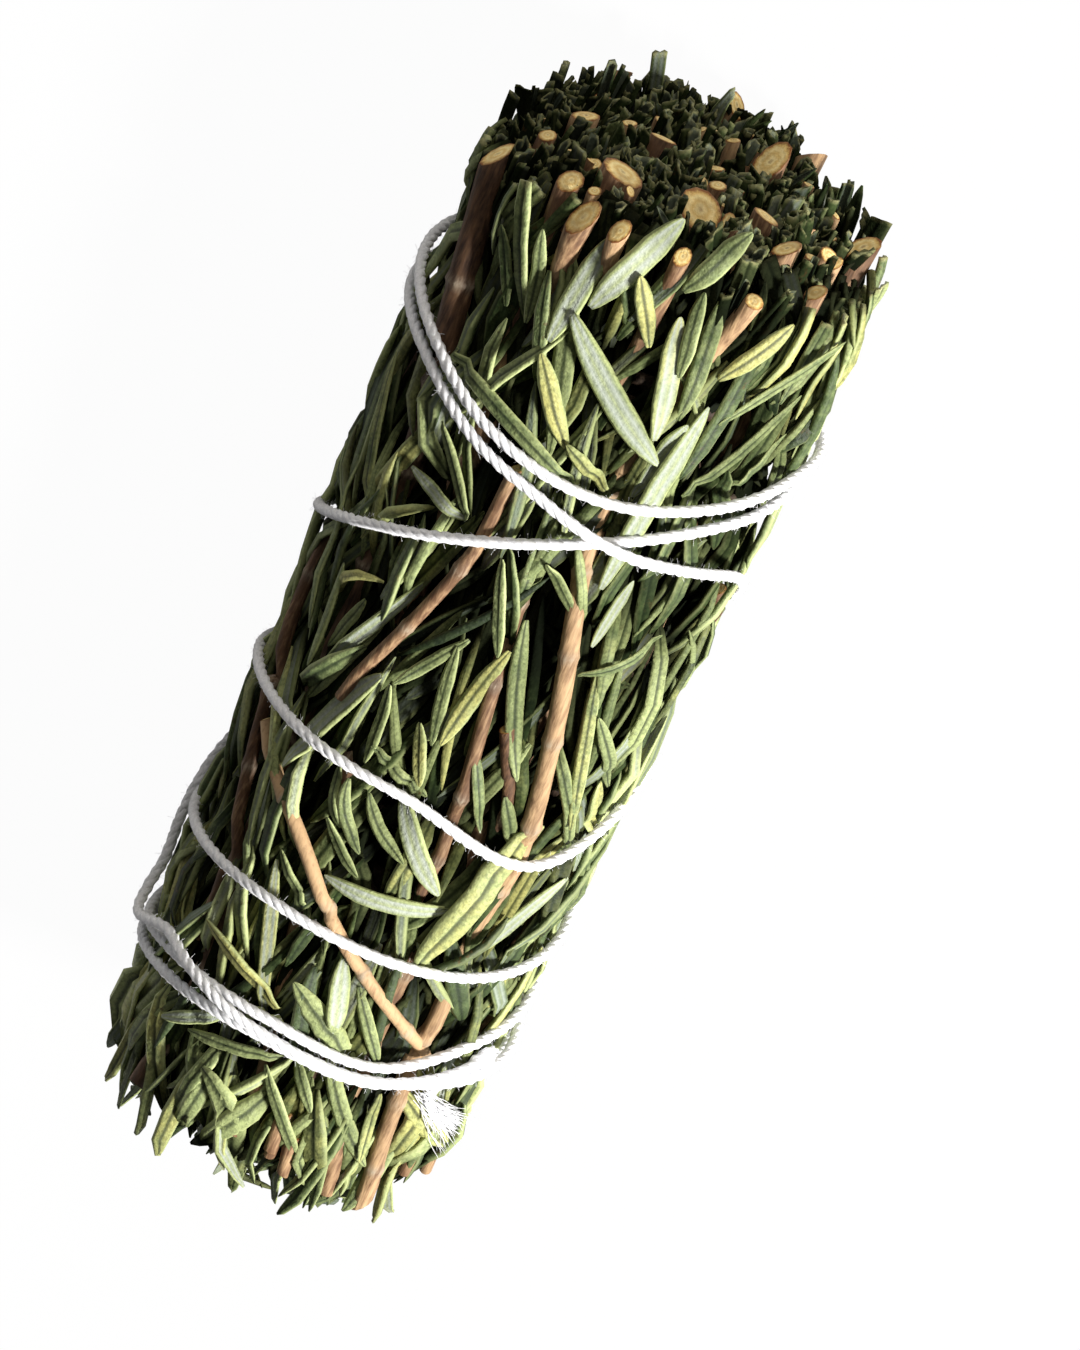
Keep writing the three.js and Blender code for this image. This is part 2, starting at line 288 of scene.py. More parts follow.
@dataclass(frozen=True)
class BarkFinish:
    """Thin dry bark with long streaks and grey scars, and a tan cut face with a darker rim and pith. Stems
    inside the bundle are darkened by painted shade.
    """

    dark: Colour = (0.030, 0.014, 0.008)
    brown: Colour = (0.14, 0.073, 0.037)
    tan: Colour = (0.46, 0.30, 0.16)
    scar: Colour = (0.33, 0.28, 0.21)
    pith: Colour = (0.34, 0.22, 0.09)
    wood: Colour = (0.66, 0.44, 0.14)
    heart: Colour = (0.82, 0.67, 0.32)
    rim: Colour = (0.20, 0.065, 0.012)
    # colour towards which painted shade darkens the stems inside the bundle
    painted_shade_dark: Colour = (0.006, 0.004, 0.003)
    streak_scale: float = 2600.0
    streak_draw: float = 0.12  # how much finer the streaks are across the stem than along it
    patch_scale: float = 260.0
    grain_scale: float = 2200.0
    pith_scale: float = 700.0
    bump_depth: float = 0.00018
    roughness: float = 0.7
    gloss: float = 0.3

    def material(self, name: str) -> bpy.types.Material:
        """Builds the material, from the stem's own attributes and the place on the object.

        Args:
            name: the material's name.
        Returns:
            The material.
        """
        material, w, shader = new_material(name)
        place = w.node("ShaderNodeTexCoord").outputs["Object"]
        tone, shade, cut = w.attribute("tone"), w.attribute("shade"), w.attribute("cut")
        radial, scar = w.attribute("radial"), w.attribute("scar")
        drawn_out = w.out("ShaderNodeMapping", {"Vector": place, "Scale": (self.streak_draw, 1.0, 1.0)})
        streak = w.noise(drawn_out, self.streak_scale, 4.0, 0.6)
        patch = w.noise(place, self.patch_scale, 3.0, 0.6)
        level = w.math("ADD", tone, w.spread(patch, 0.8))
        level = w.math("ADD", level, w.spread(streak, 1.2), clamp=True)
        bark = w.ramp(level, [(0.0, self.dark), (0.45, self.brown), (0.95, self.tan), (1.0, self.tan)])
        bark = w.blend(w.math("MULTIPLY", scar, w.remap(streak, 0.35, 0.65, 0.1, 0.8)), bark, self.scar)
        grain = w.noise(place, self.grain_scale, 4.0, 0.7)
        rings = w.math("ADD", radial, w.spread(grain, 0.5), clamp=True)
        face = w.ramp(
            rings,
            [
                (0.0, self.pith), (0.18, self.heart), (0.36, self.wood),
                (0.6, self.heart), (0.76, self.wood), (0.94, self.rim),
            ],
        )
        soft = w.remap(w.noise(place, self.pith_scale, 3.0, 0.6), 0.40, 0.70, 0.0, 0.5)
        face = w.blend(soft, face, self.pith)
        whole = w.blend(cut, bark, face)
        # Painted shade: stems inside the bundle are darkened, away from their cut ends.
        whole = w.blend(w.math("MULTIPLY", shade, 0.93), whole, self.painted_shade_dark)
        height = w.math("ADD", streak, w.math("MULTIPLY", grain, w.remap(cut, 0.0, 1.0, 0.2, 1.4)))
        bump = w.node("ShaderNodeBump", {"Strength": 0.7, "Distance": self.bump_depth, "Height": height})
        w.tree.links.new(whole, shader.inputs["Base Color"])
        w.tree.links.new(bump.outputs[0], shader.inputs["Normal"])
        shader.inputs["Roughness"].default_value = self.roughness
        shader.inputs["Specular IOR Level"].default_value = self.gloss
        return material


@dataclass(frozen=True)
class CottonFinish:
    """White cotton: matt, faintly shadowed between its fibres, with a soft sheen."""

    white: Colour = (0.90, 0.90, 0.93)
    shadow: Colour = (0.62, 0.63, 0.66)
    fibre_scale: float = 3800.0
    bump_depth: float = 0.0001
    roughness: float = 0.9
    sheen: float = 0.3

    def material(self, name: str) -> bpy.types.Material:
        """Builds the material from the place on the object.

        Args:
            name: the material's name.
        Returns:
            The material.
        """
        material, w, shader = new_material(name)
        place = w.node("ShaderNodeTexCoord").outputs["Object"]
        fibre = w.noise(place, self.fibre_scale, 3.0, 0.7)
        colour = w.blend(w.remap(fibre, 0.3, 0.7, 0.0, 0.7), self.white, self.shadow)
        bump = w.node("ShaderNodeBump", {"Strength": 0.35, "Distance": self.bump_depth, "Height": fibre})
        w.tree.links.new(colour, shader.inputs["Base Color"])
        w.tree.links.new(bump.outputs[0], shader.inputs["Normal"])
        shader.inputs["Roughness"].default_value = self.roughness
        shader.inputs["Sheen Weight"].default_value = self.sheen
        return material


@dataclass(frozen=True)
class FloorFinish:
    """A plain pale floor that glows a little to the eye, so that shadows on it stay faint."""

    colour: Colour = (0.5, 0.5, 0.5)
    glow: float = 0.97
    roughness: float = 0.9

    def material(self, name: str) -> bpy.types.Material:
        """Builds the material.

        Args:
            name: the material's name.
        Returns:
            The material.
        """
        material, w, shader = new_material(name)
        shader.inputs["Base Color"].default_value = (*self.colour, 1.0)
        shader.inputs["Roughness"].default_value = self.roughness
        shader.inputs["Specular IOR Level"].default_value = 0.0
        seen = w.node("ShaderNodeLightPath").outputs["Is Camera Ray"]
        glow = w.out("ShaderNodeEmission", {"Color": (1.0, 1.0, 1.0, 1.0), "Strength": 1.0})
        share = w.math("MULTIPLY", seen, self.glow)
        mixed = w.out("ShaderNodeMixShader", {0: share, 1: shader.outputs[0], 2: glow})
        w.tree.links.new(mixed, material.node_tree.nodes["Material Output"].inputs["Surface"])
        return material


# ------------------------------------------------------------------------------------------ the round


@dataclass(frozen=True)
class Round:
    """The bundle's long round form. It narrows towards the leafy end, and lies on a flat."""

    axis_height: float = 18.3
    radius: float = 19.2
    girth: float = 0.97
    taper: float = 0.0011
    cut_end: float = 50.0
    leafy_end: float = -54.0
    shoulder: float = 5.2  # how much shorter the bundle is cut at its two sides
    core: float = 13.2  # inside this radius the leaves aren't pressed by the string or the floor

    def pull(self, x: np.ndarray) -> np.ndarray:
        """How far the round is pulled in at x, as a share."""
        return self.girth + self.taper * x

    def place(self, x: np.ndarray, turn: np.ndarray, r: np.ndarray) -> np.ndarray:
        """The points at x, turn and radius, as an array with the coordinates last.

        Args:
            x: the places along the bundle.
            turn: the turns.
            r: the radii.
        Returns:
            The points.
        """
        x, angle, r = np.broadcast_arrays(x, np.radians(turn), r)
        pull = self.pull(x)
        return np.stack([x, -r * np.sin(angle) * pull, (self.axis_height + r * np.cos(angle)) * pull], -1)

    def outward(self, turn: np.ndarray) -> np.ndarray:
        """The directions straight out from the axis at the turns."""
        angle = np.radians(turn)
        return np.stack([0 * angle, -np.sin(angle), np.cos(angle)], -1)

    def around(self, turn: np.ndarray) -> np.ndarray:
        """The directions of growing turn."""
        angle = np.radians(turn)
        return np.stack([0 * angle, -np.cos(angle), -np.sin(angle)], -1)

    def across(self, points: np.ndarray) -> tuple[np.ndarray, np.ndarray]:
        """The turns and radii of points.

        Args:
            points: the points.
        Returns:
            Their turns, and their radii.
        """
        pull = self.pull(points[..., 0])
        y, z = points[..., 1] / pull, points[..., 2] / pull - self.axis_height
        return np.degrees(np.arctan2(-y, z)), np.hypot(y, z)

    def cut_at(self, turn: float, r: float) -> float:
        """The x of the cut face: even from top to bottom, and rounded off towards the two sides."""
        aside = min(1.0, abs(r * math.sin(math.radians(turn))) / self.radius)
        return self.cut_end - self.shoulder * aside**3


@dataclass(frozen=True)
class StringRoute:
    """The string's way round the bundle: up the bundle, back down, and its knot."""

    ring: float = 19.0
    radius: float = 0.65
    crossing_gap: float = 1.5
    crossing_reach: float = 24.0
    step: float = 2.0
    knot_x: float = -36.5
    knot_turn: float = 57.0
    stations: tuple[tuple[float, float], ...] = (
        (54, -37.4), (180, -40), (270, -42.4), (303, -40.4), (346, -38.6), (385, -39), (414, -37.2),
        (540, -37.8), (630, -40.6), (663, -38.1), (706, -36.6), (745, -37.1), (769, -34.6), (800, -32.6),
        (900, -30.2), (1000, -27.7), (1051, -25.8), (1131, -25.8), (1170, -24.2), (1260, -18),
        (1350, -10.6), (1406, -9.6), (1435, -9.4), (1484, -12.8), (1510, -8.8), (1620, -1.5), (1710, 5),
        (1762, 13), (1790, 17.6), (1815, 21.4), (1841, 24.4), (1866, 25.9), (1980, 31.5), (2070, 32),
        (2105, 29.8), (2133, 26.7), (2171, 25.2), (2199, 26.6), (2227, 28.2), (2340, 27.2), (2430, 29.2),
        (2465, 27.9), (2493, 24.8), (2514, 23.3), (2537, 21.7), (2560, 20.2), (2590, 17.9), (2630, 8),
        (2660, -4), (2700, -11), (2740, -15.3), (2765, -26), (2790, -38.6), (2823, -36.4), (2866, -37.5),
        (2905, -38), (2940, -35.6),
    )

    def along(self) -> tuple[np.ndarray, np.ndarray]:
        """The turns along the string, and the x at each, on a smooth curve through the stations.

        Returns:
            The turns, and the x at each.
        """
        turns, xs = np.array(self.stations, float).T
        slope = np.gradient(xs, turns)
        turn = np.arange(turns[0], turns[-1] + self.step / 2, self.step)
        at = np.clip(np.searchsorted(turns, turn, side="right") - 1, 0, len(turns) - 2)
        span = turns[at + 1] - turns[at]
        t = (turn - turns[at]) / span
        x = (
            (2 * t**3 - 3 * t**2 + 1) * xs[at]
            + (t**3 - 2 * t**2 + t) * span * slope[at]
            + (3 * t**2 - 2 * t**3) * xs[at + 1]
            + (t**3 - t**2) * span * slope[at + 1]
        )
        return turn, x

    def run(self, bundle: Round) -> tuple[np.ndarray, np.ndarray, np.ndarray]:
        """Works out the centre of the string, raised where it passes over an earlier strand.

        Args:
            bundle: the round that the string is wound on.
        Returns:
            The turns, the x and the radii along the string.
        """
        turn, x = self.along()
        rise = np.zeros(len(turn))
        half_turn = int(180 / self.step)
        for i in range(half_turn + 1, len(turn)):
            same = (turn[i] - turn[: i - half_turn] + 180) % 360 - 180
            apart = np.hypot(np.radians(same) * self.ring, x[i] - x[: i - half_turn]).min()
            if apart < self.crossing_gap:
                rise[i] = math.sqrt(self.crossing_gap**2 - apart**2)
        away = np.minimum(1, np.abs(turn[:, None] - turn[None, :]) / self.crossing_reach)
        lifted = self.ring + (rise[None, :] * (0.5 + 0.5 * np.cos(math.pi * away))).max(1)
        down = -np.cos(np.radians(turn))
        floor = (bundle.axis_height - self.radius - 0.2) / np.maximum(down, 0.1)
        return turn, x, np.where(down > 0.1, np.minimum(lifted, floor), lifted)


class Press:
    """How the string and the floor press the leaves in: a limit on radius over x and turn."""

    STEP_X, STEP_TURN, REACH = 0.5, 1.5, 58.0
    DIP, DIP_WIDTH = 2.2, 3.0  # how far leaves swell again beside the string, and over what length
    FREE = 40.0  # a limit that nothing reaches
    BEDDING = 0.05  # how far the string sinks in
    PROUD = 0.45  # how far past the round's radius a leaf may stand before it is pressed

    def __init__(self, bundle: Round, route: StringRoute) -> None:
        """Works out the limit on a grid, from the string's run and the floor.

        Args:
            bundle: the round.
            route: the string's way round it.
        """
        self.bundle = bundle
        xs = np.arange(-self.REACH, self.REACH + self.STEP_X, self.STEP_X)
        turns = np.arange(0, 360, self.STEP_TURN)
        limit = np.full((len(xs), len(turns)), self.FREE)
        for turn, x, r in zip(*route.run(bundle)):
            cell = int(round((turn % 360) / self.STEP_TURN)) % len(turns)
            beside = 1 - np.exp(-(((xs - x) / self.DIP_WIDTH) ** 2))
            limit[:, cell] = np.minimum(limit[:, cell], r - route.radius - self.BEDDING + self.DIP * beside)
        down = np.maximum(-np.cos(np.radians(turns)), 0.05)
        self.limit = np.minimum(limit, (bundle.axis_height / down)[None, :])

    def at(self, x: np.ndarray, turn: np.ndarray) -> np.ndarray:
        """The limit at the places, taken smoothly between the grid's.

        Args:
            x: the places along the bundle.
            turn: the turns.
        Returns:
            The limit on radius at each place.
        """
        fx = np.clip((x + self.REACH) / self.STEP_X, 0, self.limit.shape[0] - 1.001)
        ft = (turn % 360) / self.STEP_TURN
        ix, it = fx.astype(int), ft.astype(int) % self.limit.shape[1]
        tx, tt, nt = fx - ix, ft - np.floor(ft), (it + 1) % self.limit.shape[1]
        near = self.limit[ix, it] * (1 - tx) + self.limit[ix + 1, it] * tx
        far = self.limit[ix, nt] * (1 - tx) + self.limit[ix + 1, nt] * tx
        return near * (1 - tt) + far * tt

    def __call__(self, points: np.ndarray) -> np.ndarray:
        """Moves points inwards so that nothing passes the limit, without changing their order.

        Args:
            points: the points.
        Returns:
            The pressed points.
        """
        turn, r = self.bundle.across(points)
        core, full = self.bundle.core, self.bundle.radius + self.PROUD
        share = np.clip((self.at(points[..., 0], turn) - core) / (full - core), 0.05, 1.0)
        return self.bundle.place(points[..., 0], turn, np.where(r > core, core + (r - core) * share, r))


class Relief:
    """How high the leaves are heaped over each place on the round, and how high they may stand there."""

    STEP_X, STEP_TURN, REACH = 0.4, 1.2, 58.0

    def __init__(self, base: float, rng: np.random.Generator) -> None:
        """Starts from an uneven core with no places kept clear.

        Args:
            base: the core's radius.
            rng: the source of chance.
        """
        self.shape = (int(2 * self.REACH / self.STEP_X) + 1, int(360 / self.STEP_TURN))
        self.height = base + rng.uniform(-0.4, 0.4, self.shape)
        self.clear = np.full(self.shape, 99.0)

    def cells(self, x: np.ndarray, turn: np.ndarray) -> tuple[np.ndarray, np.ndarray]:
        """The grid cells that hold the places."""
        ix = np.clip(np.rint((np.asarray(x) + self.REACH) / self.STEP_X).astype(int), 0, self.shape[0] - 1)
        return ix, np.rint(np.asarray(turn) / self.STEP_TURN).astype(int) % self.shape[1]

    def at(self, x: np.ndarray, turn: np.ndarray) -> np.ndarray:
        """The heap's radius at the places."""
        return self.height[self.cells(x, turn)]

    def ceiling(self, x: np.ndarray, turn: np.ndarray) -> np.ndarray:
        """The radius that leaves may reach at the places, where they are kept clear."""
        return self.clear[self.cells(x, turn)]

    def heap(self, x: np.ndarray, turn: np.ndarray, r: np.ndarray) -> None:
        """Raises the heap to at least these radii at the places."""
        np.maximum.at(self.height, self.cells(x, turn), r)

    def keep_clear(self, x: np.ndarray, turn: np.ndarray, r: np.ndarray) -> None:
        """Keeps later leaves under these radii at the places."""
        np.minimum.at(self.clear, self.cells(x, turn), r)


# --------------------------------------------------------------------------------------------- leaves


class Face(Enum):
    """Which face of a leaf lies outwards."""

    TOP = 1
    UNDER = -1


class Form(Enum):
    """What a path is made into."""

    OPEN_LEAF = 0
    ROLLED_LEAF = 1
    CURLED_LEAF = 2
    STEM = 3


@dataclass
class Leaf:
    """One leaf to lay on the bundle.

    heading is the way that its tip points, in degrees from the leafy end and growing with turn. bend is
    how far the heading turns from base to tip, and twist how far the leaf turns about its own length.
    """

    x: float
    turn: float
    heading: float
    length: float
    width: float
    face: Face = Face.TOP
    tone: float = 0.6
    hue: float = 0.4
    bend: float = 0.0
    form: Form = Form.OPEN_LEAF
    bow: float = 0.5
    roll: float = 0.0
    twist: float = 0.0


PLAIN_STATIONS = np.array([0.0, 0.1, 0.3, 0.55, 0.8, 0.94, 1.0])
FINE_STATIONS = np.array([0.0, 0.05, 0.12, 0.22, 0.34, 0.46, 0.58, 0.7, 0.8, 0.88, 0.94, 0.98, 1.0])
LAID_RADIUS = 18.3  # at which headings and widths are turned into turns


def leaf_width(t: np.ndarray) -> np.ndarray:
    """A leaf's half width along it, over its widest: a narrow foot, long even sides and a blunt point."""
    foot = 0.25 + 0.75 * np.clip(t / 0.3, 0, 1) ** 0.7
    return foot * np.sqrt(np.clip((1.0 - t) / 0.28, 0.015, 1))


class Spines:
    """The paths that one piece is made from, each with its width, its outward side and its finish."""

    FLOATS = ("half", "tone", "hue", "shade", "form", "cut", "radial", "scar")

    def __init__(self) -> None:
        """Starts with no path."""
        self.rows: list[dict[str, np.ndarray]] = []

    def add(
        self, points: np.ndarray, out: np.ndarray, half: np.ndarray, form: Form, **values: object
    ) -> None:
        """Adds one path.

        Args:
            points: the points along it, in millimetres.
            out: the side of each point that the section's top faces.
            half: the section's half width at each point, in millimetres.
            form: what the path is made into.
            values: the finish's values, each one number or one for each point.
        """
        n = len(points)
        step = np.diff(points, axis=0)
        step /= np.linalg.norm(step, axis=1, keepdims=True) + 1e-12
        along = np.vstack([step[:1], step[:-1] + step[1:], step[-1:]])
        along /= np.linalg.norm(along, axis=1, keepdims=True) + 1e-12
        side = out - along * (out * along).sum(1, keepdims=True)
        side /= np.linalg.norm(side, axis=1, keepdims=True) + 1e-12
        row = {"points": points, "out": side, "half": half, "form": np.full(n, form.value)}
        for name in self.FLOATS:
            if name not in row:
                row[name] = np.broadcast_to(np.asarray(values.get(name, 0.0), float), (n,))
        row["shear"] = np.broadcast_to(np.asarray(values.get("shear", (0.0, 0.0, 0.0)), float), (n, 3))
        self.rows.append(row)

    def mesh(self, name: str, press: Press) -> bpy.types.Mesh:
        """Writes the paths as a mesh of edges, in metres, for the growing tree.

        Args:
            name: the mesh's name.
            press: what presses the points in.
        Returns:
            The mesh, with the paths' values as point attributes.
        """
        points = press(np.vstack([row["points"] for row in self.rows]))
        edges, start = [], 0
        for row in self.rows:
            n = len(row["points"])
            edges.append(np.stack([np.arange(n - 1), np.arange(1, n)], 1) + start)
            start += n
        mesh = bpy.data.meshes.new(name)
        mesh.from_pydata(((points + PLACE) * MM).tolist(), np.vstack(edges).tolist(), [])
        for key in self.FLOATS:
            values = np.concatenate([row[key] for row in self.rows]).astype(np.float32)
            values = values * MM if key == "half" else values
            mesh.attributes.new(key, "FLOAT", "POINT").data.foreach_set("value", values)
        for key in ("out", "shear"):
            values = np.vstack([row[key] for row in self.rows]).astype(np.float32)
            mesh.attributes.new(key, "FLOAT_VECTOR", "POINT").data.foreach_set("vector", values.ravel())
        return mesh


def curled_section() -> list[tuple[float, ...]]:
    """The section of a leaf curled nearly shut: a thin wall bent round, felted inside.

    Returns:
        For each point, its place across and up, its pale edge that is partly painted highlight, its midrib
        groove's painted shade, and its felt.
    """
    outer = [math.radians(a) for a in (-35, 20, 90, 160, 215)]
    rows = [(math.cos(a), math.sin(a), 0.3 if a in (outer[0], outer[-1]) else 0.0, 0.0, 0.0) for a in outer]
    return rows + [(0.66 * math.cos(a), 0.66 * math.sin(a), 0.5, 0.0, 0.7) for a in reversed(outer)]


class GrowingTree:
    """The Geometry Nodes tree that turns paths into leaves and stems.

    Each path is a curve. A leaf's curve carries a leaf section, grooved above and rolled under at its
    margins, or curled nearly shut, and a stem's carries a round one.
    """

    OPEN_SECTION = (  # across, up, pale edge partly painted as highlight, midrib groove painted as shade, felt
        (-1.00, -0.04, 1.0, 0.0, 0.0), (-0.58, 0.36, 0.0, 0.0, 0.0), (0.00, 0.04, 0.0, 1.0, 0.0),
        (0.58, 0.36, 0.0, 0.0, 0.0), (1.00, -0.04, 1.0, 0.0, 0.0), (0.76, -0.36, 0.4, 0.0, 0.0),
        (0.40, -0.12, 0.0, 0.0, 1.0), (0.00, -0.30, 0.6, 0.0, 0.2), (-0.40, -0.12, 0.0, 0.0, 1.0),
        (-0.76, -0.36, 0.4, 0.0, 0.0),
    )
    ROLLED_SECTION = (
        (-1.00, -0.15, 0.5, 0.0, 0.0), (-0.66, 0.60, 0.15, 0.0, 0.0), (0.00, 0.48, 0.0, 0.7, 0.0),
        (0.66, 0.60, 0.15, 0.0, 0.0), (1.00, -0.15, 0.5, 0.0, 0.0), (0.60, -0.75, 1.0, 0.0, 0.0),
        (0.00, -0.30, 0.0, 0.5, 0.6), (-0.60, -0.75, 1.0, 0.0, 0.0),
    )
    STEM_SIDES = 11
    RELIEFS = {"Leaf wrinkle": 0.00018, "Bark relief": 0.00007, "Wrinkle size": 750.0}

    def __init__(self, leaf: bpy.types.Material, bark: bpy.types.Material) -> None:
        """Builds the tree.

        Args:
            leaf: the leaves' material.
            bark: the stems' material.
        """
        self.tree = tree = new_tree("grow_sprig", "Grown", self.RELIEFS)
        self.w = w = NodeWriter(tree)
        given = w.node("NodeGroupInput").outputs
        ring = {"Resolution": self.STEM_SIDES, "Radius": 1.0}
        sections = {
            Form.OPEN_LEAF: self.section(self.OPEN_SECTION),
            Form.ROLLED_LEAF: self.section(self.ROLLED_SECTION),
            Form.CURLED_LEAF: self.section(curled_section()),
            Form.STEM: w.out("GeometryNodeCurvePrimitiveCircle", ring),
        }
        form = self.named("form", "FLOAT")
        joined = w.node("GeometryNodeJoinGeometry")
        for kind, section in sections.items():
            wanted = {0: form, 1: float(kind.value), "Epsilon": 0.1}
            chosen = w.out("FunctionNodeCompare", wanted, operation="EQUAL")
            paths = w.out("GeometryNodeSeparateGeometry", {0: given["Paths"], 1: chosen}, domain="POINT")
            amount = given["Bark relief"] if kind is Form.STEM else given["Leaf wrinkle"]
            body = self.body(paths, section, amount, given["Wrinkle size"], given["Seed"])
            tree.links.new(body, joined.inputs[0])
        real = w.out("GeometryNodeRealizeInstances", {0: joined.outputs[0]})
        past_leaves = Form.STEM.value - 0.5
        woody = w.out("FunctionNodeCompare", {0: form, 1: past_leaves}, operation="GREATER_THAN")
        leafy = w.out("GeometryNodeSetMaterial", {0: real, "Material": leaf})
        dressed = w.out("GeometryNodeSetMaterial", {0: leafy, 1: woody, "Material": bark})
        w.node("NodeGroupOutput", {0: dressed})

    def named(self, name: str, kind: str) -> Socket:
        """A named attribute's value."""
        return self.w.out("GeometryNodeInputNamedAttribute", {"Name": name}, data_type=kind)

    def pick(self, values: list[object], kind: str) -> Socket:
        """Gives each point the value that belongs to its own number.

        Args:
            values: the value of each point, in order.
            kind: what the values are, as a node's data type.
        Returns:
            The point's value.
        """
        switch = self.w.node("GeometryNodeIndexSwitch", data_type=kind)
        while len(switch.index_switch_items) < len(values):
            switch.index_switch_items.new()
        self.w.tree.links.new(self.w.out("GeometryNodeInputIndex"), switch.inputs[0])
        for socket, value in zip(list(switch.inputs)[1:], values):
            socket.default_value = value
        return switch.outputs[0]

    def section(self, rows: list[tuple[float, ...]]) -> Socket:
        """Draws a closed leaf section, with its pale edge that is partly painted highlight, its midrib
        groove's painted shade and its felt marked on its points.

        Args:
            rows: for each point, its place across and up, its pale edge that is partly painted highlight, its
                midrib groove's painted shade and its felt.
        Returns:
            The section, as a curve.
        """
        w = self.w
        circle = w.out("GeometryNodeCurvePrimitiveCircle", {"Resolution": len(rows), "Radius": 1.0})
        places = self.pick([(row[1], row[0], 0.0) for row in rows], "VECTOR")
        made = w.out("GeometryNodeSetPosition", {0: circle, "Position": places})
        for column, name in ((2, "margin_highlight"), (3, "rib_groove_shade"), (4, "felt")):
            value = self.pick([row[column] for row in rows], "FLOAT")
            made = w.out("GeometryNodeStoreNamedAttribute", {0: made, "Name": name, "Value": value})
        return made

    def body(self, paths: Socket, section: Socket, amount: Socket, size: Socket, seed: Socket) -> Socket:
        """Carries a section along the paths, slants the cut ends and wrinkles the surface.

        Args:
            paths: the edges to follow.
            section: the curve that is carried along them.
            amount: how high the wrinkles stand.
            size: the scale of the wrinkles' noise.
            seed: moves the wrinkles.
        Returns:
            The bodies, as a smooth mesh.
        """
        w = self.w
        curve = w.out("GeometryNodeMeshToCurve", {0: paths})
        out = self.named("out", "FLOAT_VECTOR")
        curve = w.out("GeometryNodeSetCurveNormal", {0: curve, "Normal": out}, mode="FREE")
        for name, kind in (("middle", "GeometryNodeInputPosition"), ("way", "GeometryNodeInputTangent")):
            store = w.node("GeometryNodeStoreNamedAttribute", data_type="FLOAT_VECTOR", domain="POINT")
            store.inputs["Name"].default_value = name
            w.tree.links.new(curve, store.inputs[0])
            w.tree.links.new(w.out(kind), store.inputs["Value"])
            curve = store.outputs[0]
        half = self.named("half", "FLOAT")
        carried = {0: curve, 1: section, "Scale": half, "Fill Caps": True}
        mesh = w.out("GeometryNodeCurveToMesh", carried)
        here = w.out("GeometryNodeInputPosition")
        from_middle = w.vector("SUBTRACT", here, self.named("middle", "FLOAT_VECTOR"))
        sides = {0: from_middle, 1: self.named("shear", "FLOAT_VECTOR")}
        lean = w.node("ShaderNodeVectorMath", sides, operation="DOT_PRODUCT").outputs["Value"]
        slant = w.scaled(self.named("way", "FLOAT_VECTOR"), lean)
        shift = w.vector("ADD", here, w.out("ShaderNodeCombineXYZ", {0: seed}))
        uneven = w.spread(w.noise(shift, size), amount)
        wrinkle = w.scaled(w.out("GeometryNodeInputNormal"), uneven)
        moved = w.out("GeometryNodeSetPosition", {0: mesh, "Offset": w.vector("ADD", slant, wrinkle)})
        return w.out("GeometryNodeSetShadeSmooth", {0: moved, "Shade Smooth": True}, domain="FACE")


def grow(
    tree: bpy.types.NodeTree, paths: bpy.types.Mesh, name: str, keep: tuple[str, ...] = ()
) -> Piece:
    """Runs a node tree over a mesh of paths, and turns what it makes into a plain mesh piece.

    Args:
        tree: the tree, which is used with its own default values.
        paths: the mesh that it starts from.
        name: the piece's name.
        keep: the attributes that the finish reads. The others are dropped.
    Returns:
        The finished piece, at the origin, with no modifier.
    """
    holder = bpy.data.objects.new(name + "_paths", paths)
    bpy.context.scene.collection.objects.link(holder)
    modifier = holder.modifiers.new("grow", "NODES")
    modifier.node_group = tree
    for socket in tree.interface.items_tree:
        if socket.in_out == "INPUT" and socket.socket_type != "NodeSocketGeometry":
            modifier[socket.identifier] = socket.default_value
    graph = bpy.context.evaluated_depsgraph_get()
    grown = holder.evaluated_get(graph)
    mesh = bpy.data.meshes.new_from_object(grown, preserve_all_data_layers=True, depsgraph=graph)
    bpy.data.objects.remove(holder)
    mesh.name = name
    kept = keep + ("position", "material_index", "sharp_face")
    for extra in [a.name for a in mesh.attributes if not a.name.startswith(".") and a.name not in kept]:
        mesh.attributes.remove(mesh.attributes[extra])
    piece = bpy.data.objects.new(name, mesh)
    bpy.context.scene.collection.objects.link(piece)
    return piece


GROWN_ATTRIBUTES = ("tone", "hue", "shade", "cut", "radial", "scar", "margin_highlight", "rib_groove_shade", "felt")


# ------------------------------------------------------------------------------------------- stems


